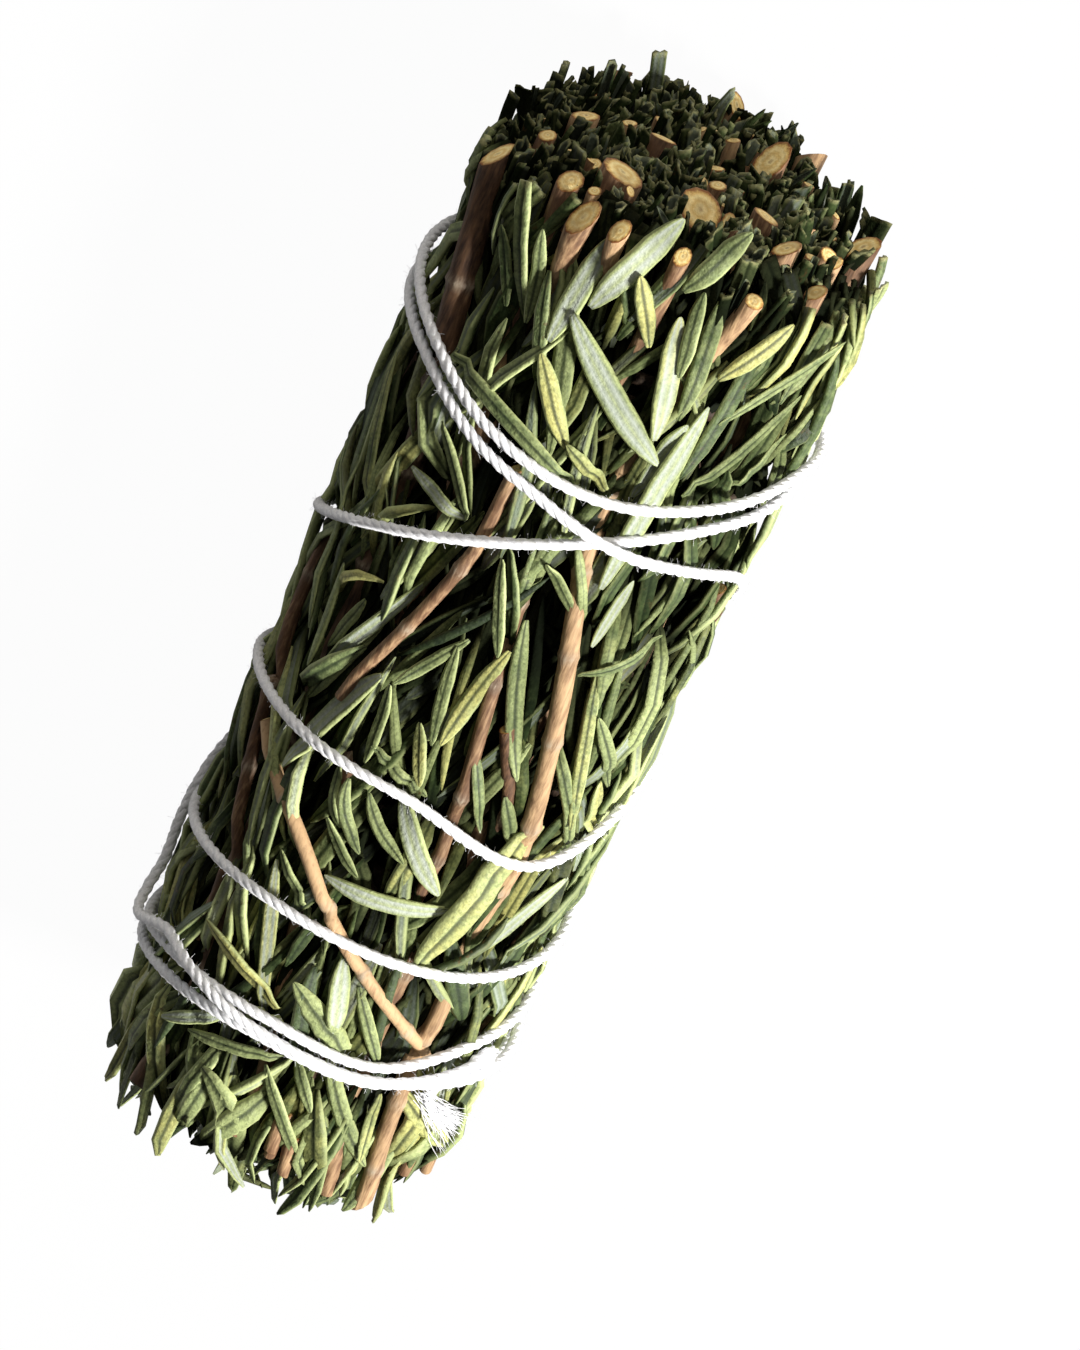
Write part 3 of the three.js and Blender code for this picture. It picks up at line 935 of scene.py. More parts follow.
@dataclass(frozen=True)
class Stem:
    """One woody stem, from its cut butt. slant is how its two ends are cut, as a slope."""

    route: tuple[Station, ...]
    girth: float
    tone: float = 0.5
    slant: Point = (0.0, 0.25, 0.15)
    taper: float = 0.7  # girth at the tip, as a share of the butt's

    FINE = 12  # points for each station of its route
    EASE = 6  # points on each side over which its bends are eased
    SWELL = 0.22  # how much thicker it is where leaves grew
    END_RINGS = np.array([0.06, 0.4, 0.75, 0.97])  # the rings of a cut end, as shares of the radius
    END_PROUD = np.array([0.10, 0.09, 0.07, 0.03])  # how far each ring stands out

    def path(self, bundle: Round) -> np.ndarray:
        """Works out close points along the middle of the stem, with its bends eased.

        Args:
            bundle: the round that it lies in.
        Returns:
            The points.
        """
        x, turn, r = np.array(self.route, float).T
        station = np.arange(len(x))
        fine = np.linspace(0, len(x) - 1, self.FINE * len(x))
        span = 2 * self.EASE + 1
        even = np.ones(span) / span
        eased = [
            np.convolve(np.pad(np.interp(fine, station, v), self.EASE, mode="edge"), even, "valid")
            for v in (x, turn, r)
        ]
        eased[0][[0, -1]] = x[[0, -1]]
        return bundle.place(*eased)

    def add(
        self, spines: Spines, bundle: Round, rng: np.random.Generator, depth: float = 0.0
    ) -> np.ndarray:
        """Adds the stem, with a cut face at each end and a swollen ring where each pair of leaves grew.

        Args:
            spines: the piece that it belongs to.
            bundle: the round that it lies in.
            rng: the source of chance.
            depth: how much painted shade darkens it inside the bundle, away from its ends, from 0 to 1.
        Returns:
            The points along its middle.
        """
        fine = self.path(bundle)
        lengths = np.concatenate([[0], np.cumsum(np.linalg.norm(np.diff(fine, axis=0), axis=1))])
        total = lengths[-1]
        nodes = np.cumsum(rng.uniform(7.0, 12.0, 20))
        nodes = nodes[nodes < total - 2]
        around_nodes = (nodes[:, None] + np.array([-1.0, -0.45, 0.0, 0.45, 1.0])).ravel()
        at = np.unique(np.concatenate([np.linspace(0, total, max(4, int(total / 2.6))), around_nodes]))
        path = np.stack([np.interp(at, lengths, fine[:, i]) for i in range(3)], 1)
        near = np.abs(at[:, None] - nodes).min(1) if len(nodes) else np.full(len(at), 9.0)
        ring = np.exp(-((near / 0.5) ** 2))
        radius = self.girth * (1 - (1 - self.taper) * at / total)
        radius = radius * (1 + self.SWELL * ring) * (1 + 0.03 * np.sin(at * 1.9))
        ends = [(path[0] - path[1]), (path[-1] - path[-2])]
        ends = [e / np.linalg.norm(e) for e in ends]
        rings, proud = self.END_RINGS, self.END_PROUD
        butt = path[0] + ends[0] * proud[:, None]
        tip = (path[-1] + ends[1] * proud[:, None])[::-1]
        cut = np.concatenate([np.ones(4), np.zeros(len(at)), np.ones(4)])
        shear = np.zeros((len(cut), 3))
        shear[:5], shear[-5:] = self.slant, rng.normal(0, 0.5, 3)
        inside = np.clip((at - 1.0) / 6.0, 0, 1) * np.clip((total - 2.0 - at) / 4.0, 0, 1)
        spines.add(
            np.vstack([butt, path, tip]),
            np.tile([0.0, 0.3, 1.0], (len(cut), 1)),
            np.concatenate([rings * radius[0], radius, rings[::-1] * radius[-1]]),
            Form.STEM,
            tone=self.tone,
            shade=depth * np.concatenate([np.zeros(4), inside, np.zeros(4)]),
            cut=cut,
            radial=np.concatenate([rings, np.ones(len(at)), rings[::-1]]),
            scar=np.concatenate([np.zeros(4), ring, np.zeros(4)]),
            shear=shear,
        )
        return path


class StemPlan:
    """Where the 24 sprigs' stems stand in the round and run along it."""

    COUNT = 24
    FIRST_TURN, GOLDEN = 17.0, 180 * (3 - math.sqrt(5))
    RING = 16.4  # radius of the outermost stems
    # The butts of the stems that don't show: x, turn, radius, girth, and the slope of the cut.
    BUTTS = {
        1: (49.6, 42, 2.6, 0.8, 0.3), 2: (48.8, 160, 3.6, 0.8, 0.3), 3: (50.0, -119, 4.3, 1.25, 0.2),
        4: (49.8, 54, 7.8, 1.3, 0.3), 5: (49.0, -150, 9.0, 0.7, 0.3), 6: (49.6, 7, 8.6, 2.1, 0.5),
        7: (50.4, 139, 8.0, 1.45, 1.3), 8: (49.0, -100, 11.0, 1.25, 0.3), 10: (49.0, 178, 10.8, 0.8, 0.3),
        11: (50.0, -35, 10.8, 2.0, 0.15), 12: (48.0, 78, 13.0, 0.9, 0.4), 13: (48.6, -128, 12.6, 0.8, 0.5),
        15: (49.3, 147, 16.4, 1.3, 0.8), 18: (50.0, 174, 16.6, 1.1, 0.8), 20: (47.4, 103, 16.0, 1.4, 0.8),
        21: (49.4, -150, 16.6, 0.7, 0.5), 23: (49.0, 164, 13.6, 0.7, 0.4),
    }
    # The stems that show between the leaves.
    SHOWN = {
        9: Stem(
            ((49.5, 47, 12), (20, 38, 13), (-30, 20, 15.5), (-47, 23, 17), (-53, 29, 17.3)),
            1.15, 0.55, (0, 0.7, 0.2),
        ),
        14: Stem(
            (
                (48.7, 2, 17.4), (40, 2, 16.2), (20, 0, 14.5), (9, 3, 15.5), (4, 5, 17.6),
                (-10, 12, 17.8), (-20, 14, 16), (-40, 8, 15.6), (-51, 4, 17.0),
            ),
            0.78, 0.45, (0, 0.2, 0.8),
        ),
        16: Stem(
            (
                (48.6, -70, 13.8), (30, -78, 15.4), (8, -80, 17.2), (-5, -77, 17.9),
                (-17, -62, 17.9), (-29, -50, 17.6), (-36, -57, 16.5),
            ),
            0.8, 0.42, (0, 0.3, 0.3),
        ),
        17: Stem(
            (
                (47.6, 50, 16.2), (30, 55, 14.8), (0, 60, 15.5),
                (-30, 75, 16.3), (-48, 84, 17.0), (-54, 84, 17.6),
            ),
            0.9, 0.6, (0, 0.6, 0.4),
        ),
        19: Stem(
            ((49.2, -38, 16.8), (35, -36, 15.5), (-20, -28, 15), (-45, -6, 16.6), (-50, -11, 17.2)),
            1.15, 0.5, (0, 0.3, 0.5),
        ),
        22: Stem(
            (
                (47, 26, 17.8), (42, 23, 16.6), (36, 19, 15.6), (28, 14, 15.6), (19, 14, 16.0),
                (13, 18, 17.7), (4, 26, 18.0), (-7, 34, 18.0), (-13, 39, 17.6), (-19, 38, 16.6),
                (-26, 37, 16.8), (-31, 37, 17.6), (-43, 37, 17.4), (-54, 44, 17.8),
            ),
            0.88, 0.8, (0, 0.1, 0.3), 0.95,
        ),
        24: Stem(
            (
                (46.4, -66, 18.2), (38, -60, 17.9), (29, -55, 17.6), (18, -52, 16),
                (-20, -56, 15.6), (-44, -45, 16.5), (-53, -53, 17.2),
            ),
            1.3, 0.25, (0, 0.9, 0.3),
        ),
    }
    # Short pieces of side twig that show, each on the sprig of that number.
    STUBS = (
        (19, Stem(((47.8, -27, 17.9), (44, -28, 17.4), (40, -29, 16.2)), 1.2, 0.62, (0, 0.9, 0.9))),
        (14, Stem(((48.6, -16, 18.1), (46, -16, 17.6), (42, -15, 16)), 0.9, 0.75, (0, 0.6, 0.8))),
        (6, Stem(((0, 14, 17.4), (-3, 19, 17.6), (-8, 27, 17.2), (-12, 29, 16)), 0.7, 0.22)),
        (12, Stem(((14, 83, 17.9), (11, 86, 18), (7, 88, 17)), 0.8, 0.3)),
        (1, Stem(((-46, 2.6, 16.9), (-50.4, 4, 17.2)), 0.9, 0.6)),
        (4, Stem(((-48, 9, 17), (-52.2, 11, 17.4)), 0.8, 0.65)),
        (17, Stem(((-47, 62, 16.8), (-51.5, 60, 17.2)), 0.9, 0.6)),
        (24, Stem(((-46, -70, 16.8), (-51, -72, 17)), 1.0, 0.4)),
        (11, Stem(((49.6, -30, 16.2), (46, -31, 15.4), (40, -32, 14)), 0.6, 0.85)),
        (6, Stem(((50.0, -106, 7.4), (44, -100, 7)), 0.7, 0.8)),
    )

    def spot(self, number: int) -> tuple[float, float]:
        """A sprig's turn and radius in the round, on a spiral that fills it evenly."""
        k = number - 1
        return self.FIRST_TURN + k * self.GOLDEN, self.RING * math.sqrt((k + 0.5) / (self.COUNT - 0.5))

    def stem(self, number: int) -> Stem:
        """The stem of a sprig.

        Args:
            number: the sprig's number, from 1.
        Returns:
            The stem.
        """
        if number in self.SHOWN:
            return self.SHOWN[number]
        turn, r = self.spot(number)
        x, butt_turn, butt_r, girth, slope = self.BUTTS[number]
        near_turn = butt_turn + ((turn - butt_turn + 180) % 360 - 180) * 0.6
        end = -44.0 - 5 * math.sin(2.4 * number)
        near_butt = (x - 14, near_turn, 0.5 * (r + butt_r))
        route = ((x, butt_turn, butt_r), near_butt, (-25, turn, r), (end, turn, r))
        slant = (0.0, slope * math.sin(number), slope * math.cos(number))
        return Stem(route, girth, 0.35 + 0.3 * math.sin(2.2 * number) ** 2, slant)


# ------------------------------------------------------------------------------------------- foliage


class Where(Enum):
    """Where in the bundle a hidden leaf lies."""

    BETWEEN = 0
    AT_CUT = 1
    AT_TIP = 2


class Foliage:
    """Lays the leaves: a loose fill inside, and a heap of stiff leaves over the round."""

    BASE = 13.8  # radius of the core that the heap starts on
    UNDER_LIMIT, TOP_LIMIT = 17.3, 19.15  # radii that the under leaves and the top ones may reach
    LIT, DARK = 18.25, 16.5  # radii at which a leaf gets no painted shade and full painted shade
    END_RADIUS, INNER_RADIUS = 17.6, 14.3  # radii that hidden leaves may reach at the two ends and between
    NODE_SPACING = 6.5  # between the hidden leaves along a stem
    # How many hidden leaves each sprig has at a node, at the cut and at the tip, and how many side twigs.
    LEAVES_AT_NODE, LEAVES_AT_CUT, LEAVES_AT_TIP, SIDE_TWIGS = 3, 46, 12, 2
    NEAR_SURFACE = 17.4  # radius past which a stem shows

    def __init__(self, bundle: Round, plan: StemPlan, rng: np.random.Generator) -> None:
        """Starts an empty heap.

        Args:
            bundle: the round to lay on.
            plan: the sprigs' stems.
            rng: the source of chance.
        """
        self.bundle, self.plan, self.rng = bundle, plan, rng
        self.relief = Relief(self.BASE, rng)
        self.sprigs = [Spines() for _ in range(plan.COUNT)]
        numbers = range(1, plan.COUNT + 1)
        self.feet = np.array([bundle.place(0.0, *plan.spot(number))[1:] for number in numbers])
        shown = [plan.stem(number) for number in numbers]
        shown += [stub for _, stub in plan.STUBS if stub.route[0][0] > 40]  # those at the cut
        self.butts = np.array([(*bundle.place(*stem.route[0])[1:], stem.girth) for stem in shown])

    def nearest(self, point: np.ndarray) -> Spines:
        """The sprig that a leaf at the point grew on."""
        return self.sprigs[int(np.argmin(((self.feet - point[1:]) ** 2).sum(1)))]

    def trail(self, leaf: Leaf, t: np.ndarray) -> tuple[np.ndarray, np.ndarray, np.ndarray]:
        """A leaf's way over the round: the x, the turns and the headings at the shares t of its length.

        Args:
            leaf: the leaf.
            t: the shares of its length.
        Returns:
            The x, the turns and the headings.
        """
        fine = np.linspace(0, 1, 33)
        heading = np.radians(leaf.heading + leaf.bend * (fine - 0.5))
        run, swing = [
            np.concatenate([[0], np.cumsum(0.5 * (v[1:] + v[:-1]) / 32)])
            for v in (np.cos(heading), np.sin(heading))
        ]
        x = leaf.x - leaf.length * np.interp(t, fine, run)
        turn = leaf.turn + np.degrees(leaf.length * np.interp(t, fine, swing) / LAID_RADIUS)
        return x, turn, np.interp(t, fine, heading)

    def kept(self, leaf: Leaf) -> tuple[float, float] | None:
        """The shares of a leaf's length between which it stays inside the bundle's two ends.

        Args:
            leaf: the leaf.
        Returns:
            The two shares, or None if too little of it is inside.
        """
        t = np.linspace(0, 1, 33)
        x, turn, _ = self.trail(leaf, t)
        cut = self.bundle.cut_at(float(turn.mean()), 18.5) + self.rng.normal(-0.6, 0.9)
        inside = t[x < cut]
        if len(inside) < 12 or x.min() < self.bundle.leafy_end - abs(self.rng.normal(0, 1.4)):
            return None
        return float(inside[0]), float(inside[-1])

    def footprint(self, leaf: Leaf, widen: float = 0.0) -> tuple[np.ndarray, np.ndarray]:
        """The places that a leaf covers.

        Args:
            leaf: the leaf.
            widen: how much wider than the leaf, on each side.
        Returns:
            The x and the turns.
        """
        t = np.linspace(0, 1, 28)
        x, turn, heading = self.trail(leaf, t)
        off = np.linspace(-1, 1, 7)[:, None] * (0.5 * leaf.width * leaf_width(t) + widen)
        return x + off * np.sin(heading), turn + np.degrees(off * np.cos(heading) / LAID_RADIUS)

    def lay(self, leaf: Leaf, limit: float, owner: Spines | None = None, shown: bool = False) -> bool:
        """Lays one leaf on the heap, if it fits.

        Args:
            leaf: the leaf.
            limit: the radius that it may reach.
            owner: the piece that the leaf belongs to, if it isn't the nearest sprig.
            shown: lay it in any case, pressed down to the limit, and finely made.
        Returns:
            Whether it was laid.
        """
        ends = (0.0, 1.0) if shown else self.kept(leaf)
        if ends is None:
            return False
        plain = FINE_STATIONS if shown else PLAIN_STATIONS
        t = ends[0] + (ends[1] - ends[0]) * plain
        x, turn, heading = self.trail(leaf, t)
        half = 0.5 * leaf.width * leaf_width(t)
        side, to_side = 0.8 * half, np.degrees(0.8 * half / LAID_RADIUS)
        left = self.relief.at(x + side * np.sin(heading), turn + to_side * np.cos(heading))
        right = self.relief.at(x - side * np.sin(heading), turn - to_side * np.cos(heading))
        lean = np.clip(np.arctan2(np.mean(left - right), np.mean(2 * side)), -0.6, 0.6) * 0.7
        lean = lean + math.radians(leaf.roll)
        thick = (0.42 if leaf.form is Form.OPEN_LEAF else 0.7) * half
        need = np.maximum(self.relief.at(x, turn), 0.5 * (left + right)) + thick * 0.8
        stiff = need.copy()
        for _ in range(7):
            stiff[1:-1] = np.maximum(stiff[1:-1], 0.5 * (stiff[:-2] + stiff[2:]))
        r = np.polyval(np.polyfit(plain, stiff, 2), plain)
        r = r + max(0.0, float((need - r).max()) * 0.7) + leaf.bow * 0.5 * (plain - 0.3) ** 2
        if shown:
            r = np.clip(r, limit - 1.0 - thick * 0.7, limit - thick * 0.7)
        elif (r + thick * 0.7 > np.minimum(limit, self.relief.ceiling(x, turn))).any():
            return False
        b = self.bundle
        points = b.place(x, turn, r)
        spin = (lean + np.radians(leaf.twist) * (plain - 0.5))[:, None]
        sideways = b.around(turn) * np.cos(heading)[:, None]
        sideways = sideways + np.array([1.0, 0, 0]) * np.sin(heading)[:, None]
        out = b.outward(turn) * np.cos(spin) - sideways * np.sin(spin)
        # Painted shade: the deeper a leaf lies, the darker its colour.
        depth = np.clip((self.LIT - r) / (self.LIT - self.DARK), 0, 1)
        cut = np.zeros(len(t))
        cut[0], cut[-1] = float(ends[0] > 0), float(ends[1] < 1)
        piece = owner if owner is not None else self.nearest(points[len(t) // 2])
        looks = {"tone": leaf.tone, "hue": leaf.hue, "shade": depth, "cut": cut}
        piece.add(points, out * leaf.face.value, half, leaf.form, **looks)
        covered = self.footprint(leaf)
        back = np.interp(np.linspace(0, 1, covered[0].shape[1]), t, r + 0.5 * thick)
        self.relief.heap(*covered, np.broadcast_to(back, covered[0].shape))
        return True

    def chance_leaf(self, x: float, turn: float, heading: float) -> Leaf:
        """A leaf of chance size and looks.

        Args:
            x: where its base is.
            turn: the turn there.
            heading: the way its tip points.
        Returns:
            The leaf.
        """
        rng = self.rng
        # The shoots' tips are broader, paler and yellower.
        young = float(np.interp(x, [-42, -25], [1.0, 0.0]))
        form = Form.ROLLED_LEAF if rng.random() < 0.45 - 0.2 * young else Form.OPEN_LEAF
        widths = (0.85, 1.35) if form is Form.ROLLED_LEAF else (1.2, 2.2)
        return Leaf(
            x=x,
            turn=turn,
            heading=heading,
            length=rng.uniform(9.5, 19.5),
            width=rng.uniform(*widths) * (1 + 0.25 * young),
            face=Face.UNDER if rng.random() < 0.32 - 0.1 * young else Face.TOP,
            tone=float(np.clip(rng.normal(0.55 + 0.2 * young, 0.28), 0.05, 1.0)),
            hue=rng.random() ** (1.15 - 0.5 * young),
            bend=rng.normal(0, 13) if rng.random() < 0.8 else rng.normal(0, 65),
            form=form,
            bow=rng.uniform(0.2, 1.6),
            roll=rng.normal(0, 15),
            twist=rng.normal(0, 22),
        )

    def cover(self, sprays: int, limit: float) -> int:
        """Heaps leaves over the round, spray by spray.

        Args:
            sprays: how many sprays to try.
            limit: the radius that the leaves may reach.
        Returns:
            How many leaves were laid.
        """
        rng, laid = self.rng, 0
        for _ in range(sprays):
            x, turn = rng.uniform(-52, 55), rng.uniform(0, 360)
            if rng.random() < 0.12:
                x = rng.uniform(-46, -38)
            leafward = rng.random() < np.interp(x, [-25, 20], [0.85, 0.35])
            way = (0.0 if leafward else 180.0) + rng.normal(0, 9)
            for n in range(int(rng.integers(3, 8))):
                side = 1 if n % 2 else -1
                along = (-2.3 if leafward else 2.3) * (n // 2)
                heading = way + side * abs(rng.normal(15, 10))
                laid += self.lay(self.chance_leaf(x + along, turn + side * rng.uniform(1, 5), heading), limit)
        return laid

    def grow_stems(self) -> None:
        """Adds the stems and side twigs, and keeps leaves off those that show."""
        for number in range(1, self.plan.COUNT + 1):
            stem = self.plan.stem(number)
            # Painted shade: the stems that show get little of it, the others much, wherever they lie.
            depth = 0.15 if number in self.plan.SHOWN else 0.9
            self.keep_showing(stem.add(self.sprigs[number - 1], self.bundle, self.rng, depth), stem.girth)
        for number, stub in self.plan.STUBS:
            self.keep_showing(stub.add(self.sprigs[number - 1], self.bundle, self.rng), stub.girth)

    def keep_showing(self, path: np.ndarray, girth: float) -> None:
        """Keeps later leaves off the stretches of a stem that lie near the surface.

        Args:
            path: the points along the stem.
            girth: its radius at the butt.
        """
        turn, r = self.bundle.across(path)
        fine = np.linspace(0, len(path) - 1, 6 * len(path))
        along = (path[:, 0], np.unwrap(turn, period=360), r)
        x, turn, r = [np.interp(fine, np.arange(len(path)), v) for v in along]
        near = r > self.NEAR_SURFACE
        x, turn, r = x[near], turn[near], r[near]
        for off in np.linspace(-1, 1, 7) * (girth + 0.3):
            place = (x, turn + math.degrees(off / LAID_RADIUS))
            self.relief.keep_clear(*place, r - 0.4)

    def fill(self, number: int) -> None:
        """Adds the leaves that a sprig holds inside the bundle, along its stem and out at both ends.

        Args:
            number: the sprig's number, from 1.
        """
        rng = self.rng
        spines, foot = self.sprigs[number - 1], self.feet[number - 1]
        for x in np.arange(-46, 46, self.NODE_SPACING):
            for _ in range(self.LEAVES_AT_NODE):
                self.inner_leaf(spines, x + rng.uniform(-2, 2), foot, 3.4, rng.uniform(12, 18), Where.BETWEEN)
        for _ in range(self.LEAVES_AT_CUT):
            x, spread, length = rng.uniform(37, 46), rng.uniform(0.8, 4.2), rng.uniform(9, 16)
            self.inner_leaf(spines, x, foot, spread, length, Where.AT_CUT)
        for _ in range(self.SIDE_TWIGS):
            self.side_twig(spines, foot)
        for _ in range(self.LEAVES_AT_TIP):
            x, spread, length = rng.uniform(-46, -39), rng.uniform(1.0, 4.5), rng.uniform(8, 14)
            self.inner_leaf(spines, x, foot, spread, length, Where.AT_TIP)

    def side_twig(self, spines: Spines, foot: np.ndarray) -> None:
        """Adds a thin side twig beside a stem, cut off with it.

        Args:
            spines: the sprig that it belongs to.
            foot: the stem's y and z.
        """
        rng, b = self.rng, self.bundle
        turn, r = b.across(np.array([49.0, *(foot + rng.normal(0, 2.4, 2))]))
        if r > self.plan.RING:
            return
        x = b.cut_at(float(turn), float(r)) - rng.uniform(0.0, 1.6)
        route = ((x, turn, r), (x - 5, turn + rng.normal(0, 4), r), (x - 10, turn, 0.95 * r))
        slant = (0.0, *rng.normal(0, 0.5, 2))
        # Side twigs are darkened by painted shade.
        Stem(route, rng.uniform(0.3, 0.72), rng.uniform(0.3, 0.9), slant).add(spines, b, rng, 0.8)

    def inner_leaf(
        self, spines: Spines, x: float, foot: np.ndarray, spread: float, length: float, where: Where
    ) -> None:
        """Adds one leaf inside the bundle, beside a stem.

        Args:
            spines: the sprig that it belongs to.
            x: where its base is.
            foot: the stem's y and z.
            spread: how far its tip stands off the stem.
            length: its length.
            where: the part of the bundle that it lies in.
        """
        rng, b = self.rng, self.bundle
        at_cut, at_tip = where is Where.AT_CUT, where is Where.AT_TIP
        way = -1 if at_tip else (1 if at_cut or rng.random() < 0.4 else -1)
        t, angle = PLAIN_STATIONS, rng.uniform(0, 2 * math.pi)
        aside = np.array([0.0, math.cos(angle), math.sin(angle)])
        points = np.array([x, *foot]) + aside * (1.0 + 0.4 * spread * rng.random())
        points = points + np.outer(t * length * way, [1.0, 0, 0]) + aside * (spread * t**0.8)[:, None]
        points[:, 1:] += np.outer(t * length, rng.normal(0, 0.13 if at_cut else 0.1, 2))
        points[:, 1:] += np.outer(np.clip(t - 0.75, 0, 1) * length, rng.normal(0, 0.5, 2))
        turn, r = b.across(points)
        reach = self.INNER_RADIUS if where is Where.BETWEEN else self.END_RADIUS
        points = b.place(points[:, 0], turn, np.minimum(r, reach))
        limit = b.cut_at(float(turn[-1]), float(min(r[-1], self.END_RADIUS)))
        low = abs(turn[-1]) > 100 and r[-1] > 11  # the far rim keeps its longer tips
        limit += rng.triangular(-3.6, 0.2, 1.0) if rng.random() < 0.94 or not low else rng.uniform(1.0, 3.5)
        high = 1.0
        if way > 0 and points[-1, 0] > limit:
            high = float(np.interp(limit, points[:, 0], t))
            points = np.stack([np.interp(high * t, t, points[:, i]) for i in range(3)], 1)
        points[:, 0] = np.maximum(points[:, 0], b.leafy_end - 2.5)
        curled = rng.random() < (0.72 if at_cut else 0.25)
        form = Form.CURLED_LEAF if curled else Form.OPEN_LEAF
        half = rng.uniform(0.36, 0.66) if curled else rng.uniform(0.6, 1.1)
        beside = np.hypot(*(self.butts[:, :2] - points[-1, 1:]).T) - self.butts[:, 2]
        if high < 0.2 or np.ptp(points[:, 0]) < 3 or (way > 0 and beside.min() < 0.8 * half):
            return
        spin = rng.uniform(0, 2 * math.pi)
        cut = np.zeros(len(t))
        cut[-1] = float(high < 1.0)
        past = points[:, 0] - 46.0 if way > 0 else -points[:, 0] - 42.0
        near_end = np.clip(past / 4.0, 0, 1)
        # Painted shade: hidden leaves are darkened almost fully inside the bundle and less towards its two
        # ends; at the cut, their cut tips get less still, so their rims show lighter.
        shade = 0.98 - (rng.triangular(0.05, 0.2, 0.7) if way > 0 else 0.75) * near_end
        if at_cut:
            shade[-1] *= 0.65
        spines.add(
            points,
            np.tile([0.0, math.cos(spin), math.sin(spin)], (len(t), 1)),
            half * leaf_width(high * t),
            form,
            tone=rng.uniform(0.0, 0.6) + 0.3 * at_tip,
            hue=rng.random() * (0.3 if at_cut else 1.0),
            shade=shade,
            shear=np.outer(t > 0.9, (0.0, *rng.normal(0, 0.6 * at_cut, 2))),
            cut=cut,
        )


# ------------------------------------------------------------------------- twigs and loose leaves


@dataclass(frozen=True)
class BareTwig:
    """A bare broken twig that lies on the bundle."""

    stem: Stem
    node: str

    def build(
        self, tree: bpy.types.NodeTree, bundle: Round, press: Press, rng: np.random.Generator
    ) -> Piece:
        """Builds the twig as its own piece.

        Args:
            tree: the growing tree.
            bundle: the round that it lies on.
            press: what presses it in.
            rng: the source of chance.
        Returns:
            The piece.
        """
        spines = Spines()
        self.stem.add(spines, bundle, rng)
        return grow(tree, spines.mesh(self.node + "_paths", press), self.node + "_piece", GROWN_ATTRIBUTES)


@dataclass(frozen=True)
class LooseLeaf:
    """A single leaf caught on the outside of the bundle."""

    leaf: Leaf
    node: str
    top: float = 19.0  # radius of its back

    def build(self, tree: bpy.types.NodeTree, foliage: Foliage, press: Press) -> Piece:
        """Lays the leaf and builds it as its own piece.

        Args:
            tree: the growing tree.
            foliage: the heap that it lies on.
            press: what presses it in.
        Returns:
            The piece.
        """
        spines = Spines()
        foliage.lay(self.leaf, self.top, spines, shown=True)
        return grow(tree, spines.mesh(self.node + "_paths", press), self.node + "_piece", GROWN_ATTRIBUTES)


TWIGS = (
    BareTwig(
        Stem(
            (
                (-13, -66, 17.8), (-18, -30, 18.3), (-24.5, -10, 18.2),
                (-29, 9, 18.3), (-34, 31, 18.2), (-37, 44, 17.6),
            ),
            0.7, 0.95, (0, 0.2, 0.5), 0.85,
        ),
        "bare_twig_long",
    ),
    BareTwig(
        Stem(
            ((24, -15, 17.7), (14.5, -16, 18.0), (6, -24, 17.9), (-5, -38, 17.6)),
            0.66, 0.55, (0, 0.6, 0.3), 0.85,
        ),
        "bare_twig_short",
    ),
)
LOOSE_LEAVES = (
    LooseLeaf(Leaf(-8.8, 38, -18, 18.5, 3.5, Face.TOP, 1.0, 0.88, 12), "loose_leaf_1", 19.5),
    LooseLeaf(Leaf(40, -18, 50, 16, 2.4, Face.UNDER, 0.7, 0.2, 14), "loose_leaf_2", 19.2),
    LooseLeaf(Leaf(16.5, 21, 175, 20, 2.0, Face.UNDER, 0.75, 0.6, -10), "loose_leaf_3", 19.1),
    LooseLeaf(Leaf(-5, 112, 12, 19, 2.4, Face.TOP, 0.7, 0.4, 8), "loose_leaf_4"),
    LooseLeaf(Leaf(12, -104, 20, 18, 2.5, Face.UNDER, 0.7, 0.3, -8), "loose_leaf_5"),
    LooseLeaf(Leaf(44, 150, -15, 16, 2.4, Face.TOP, 0.6, 0.7, 8), "loose_leaf_6"),
)
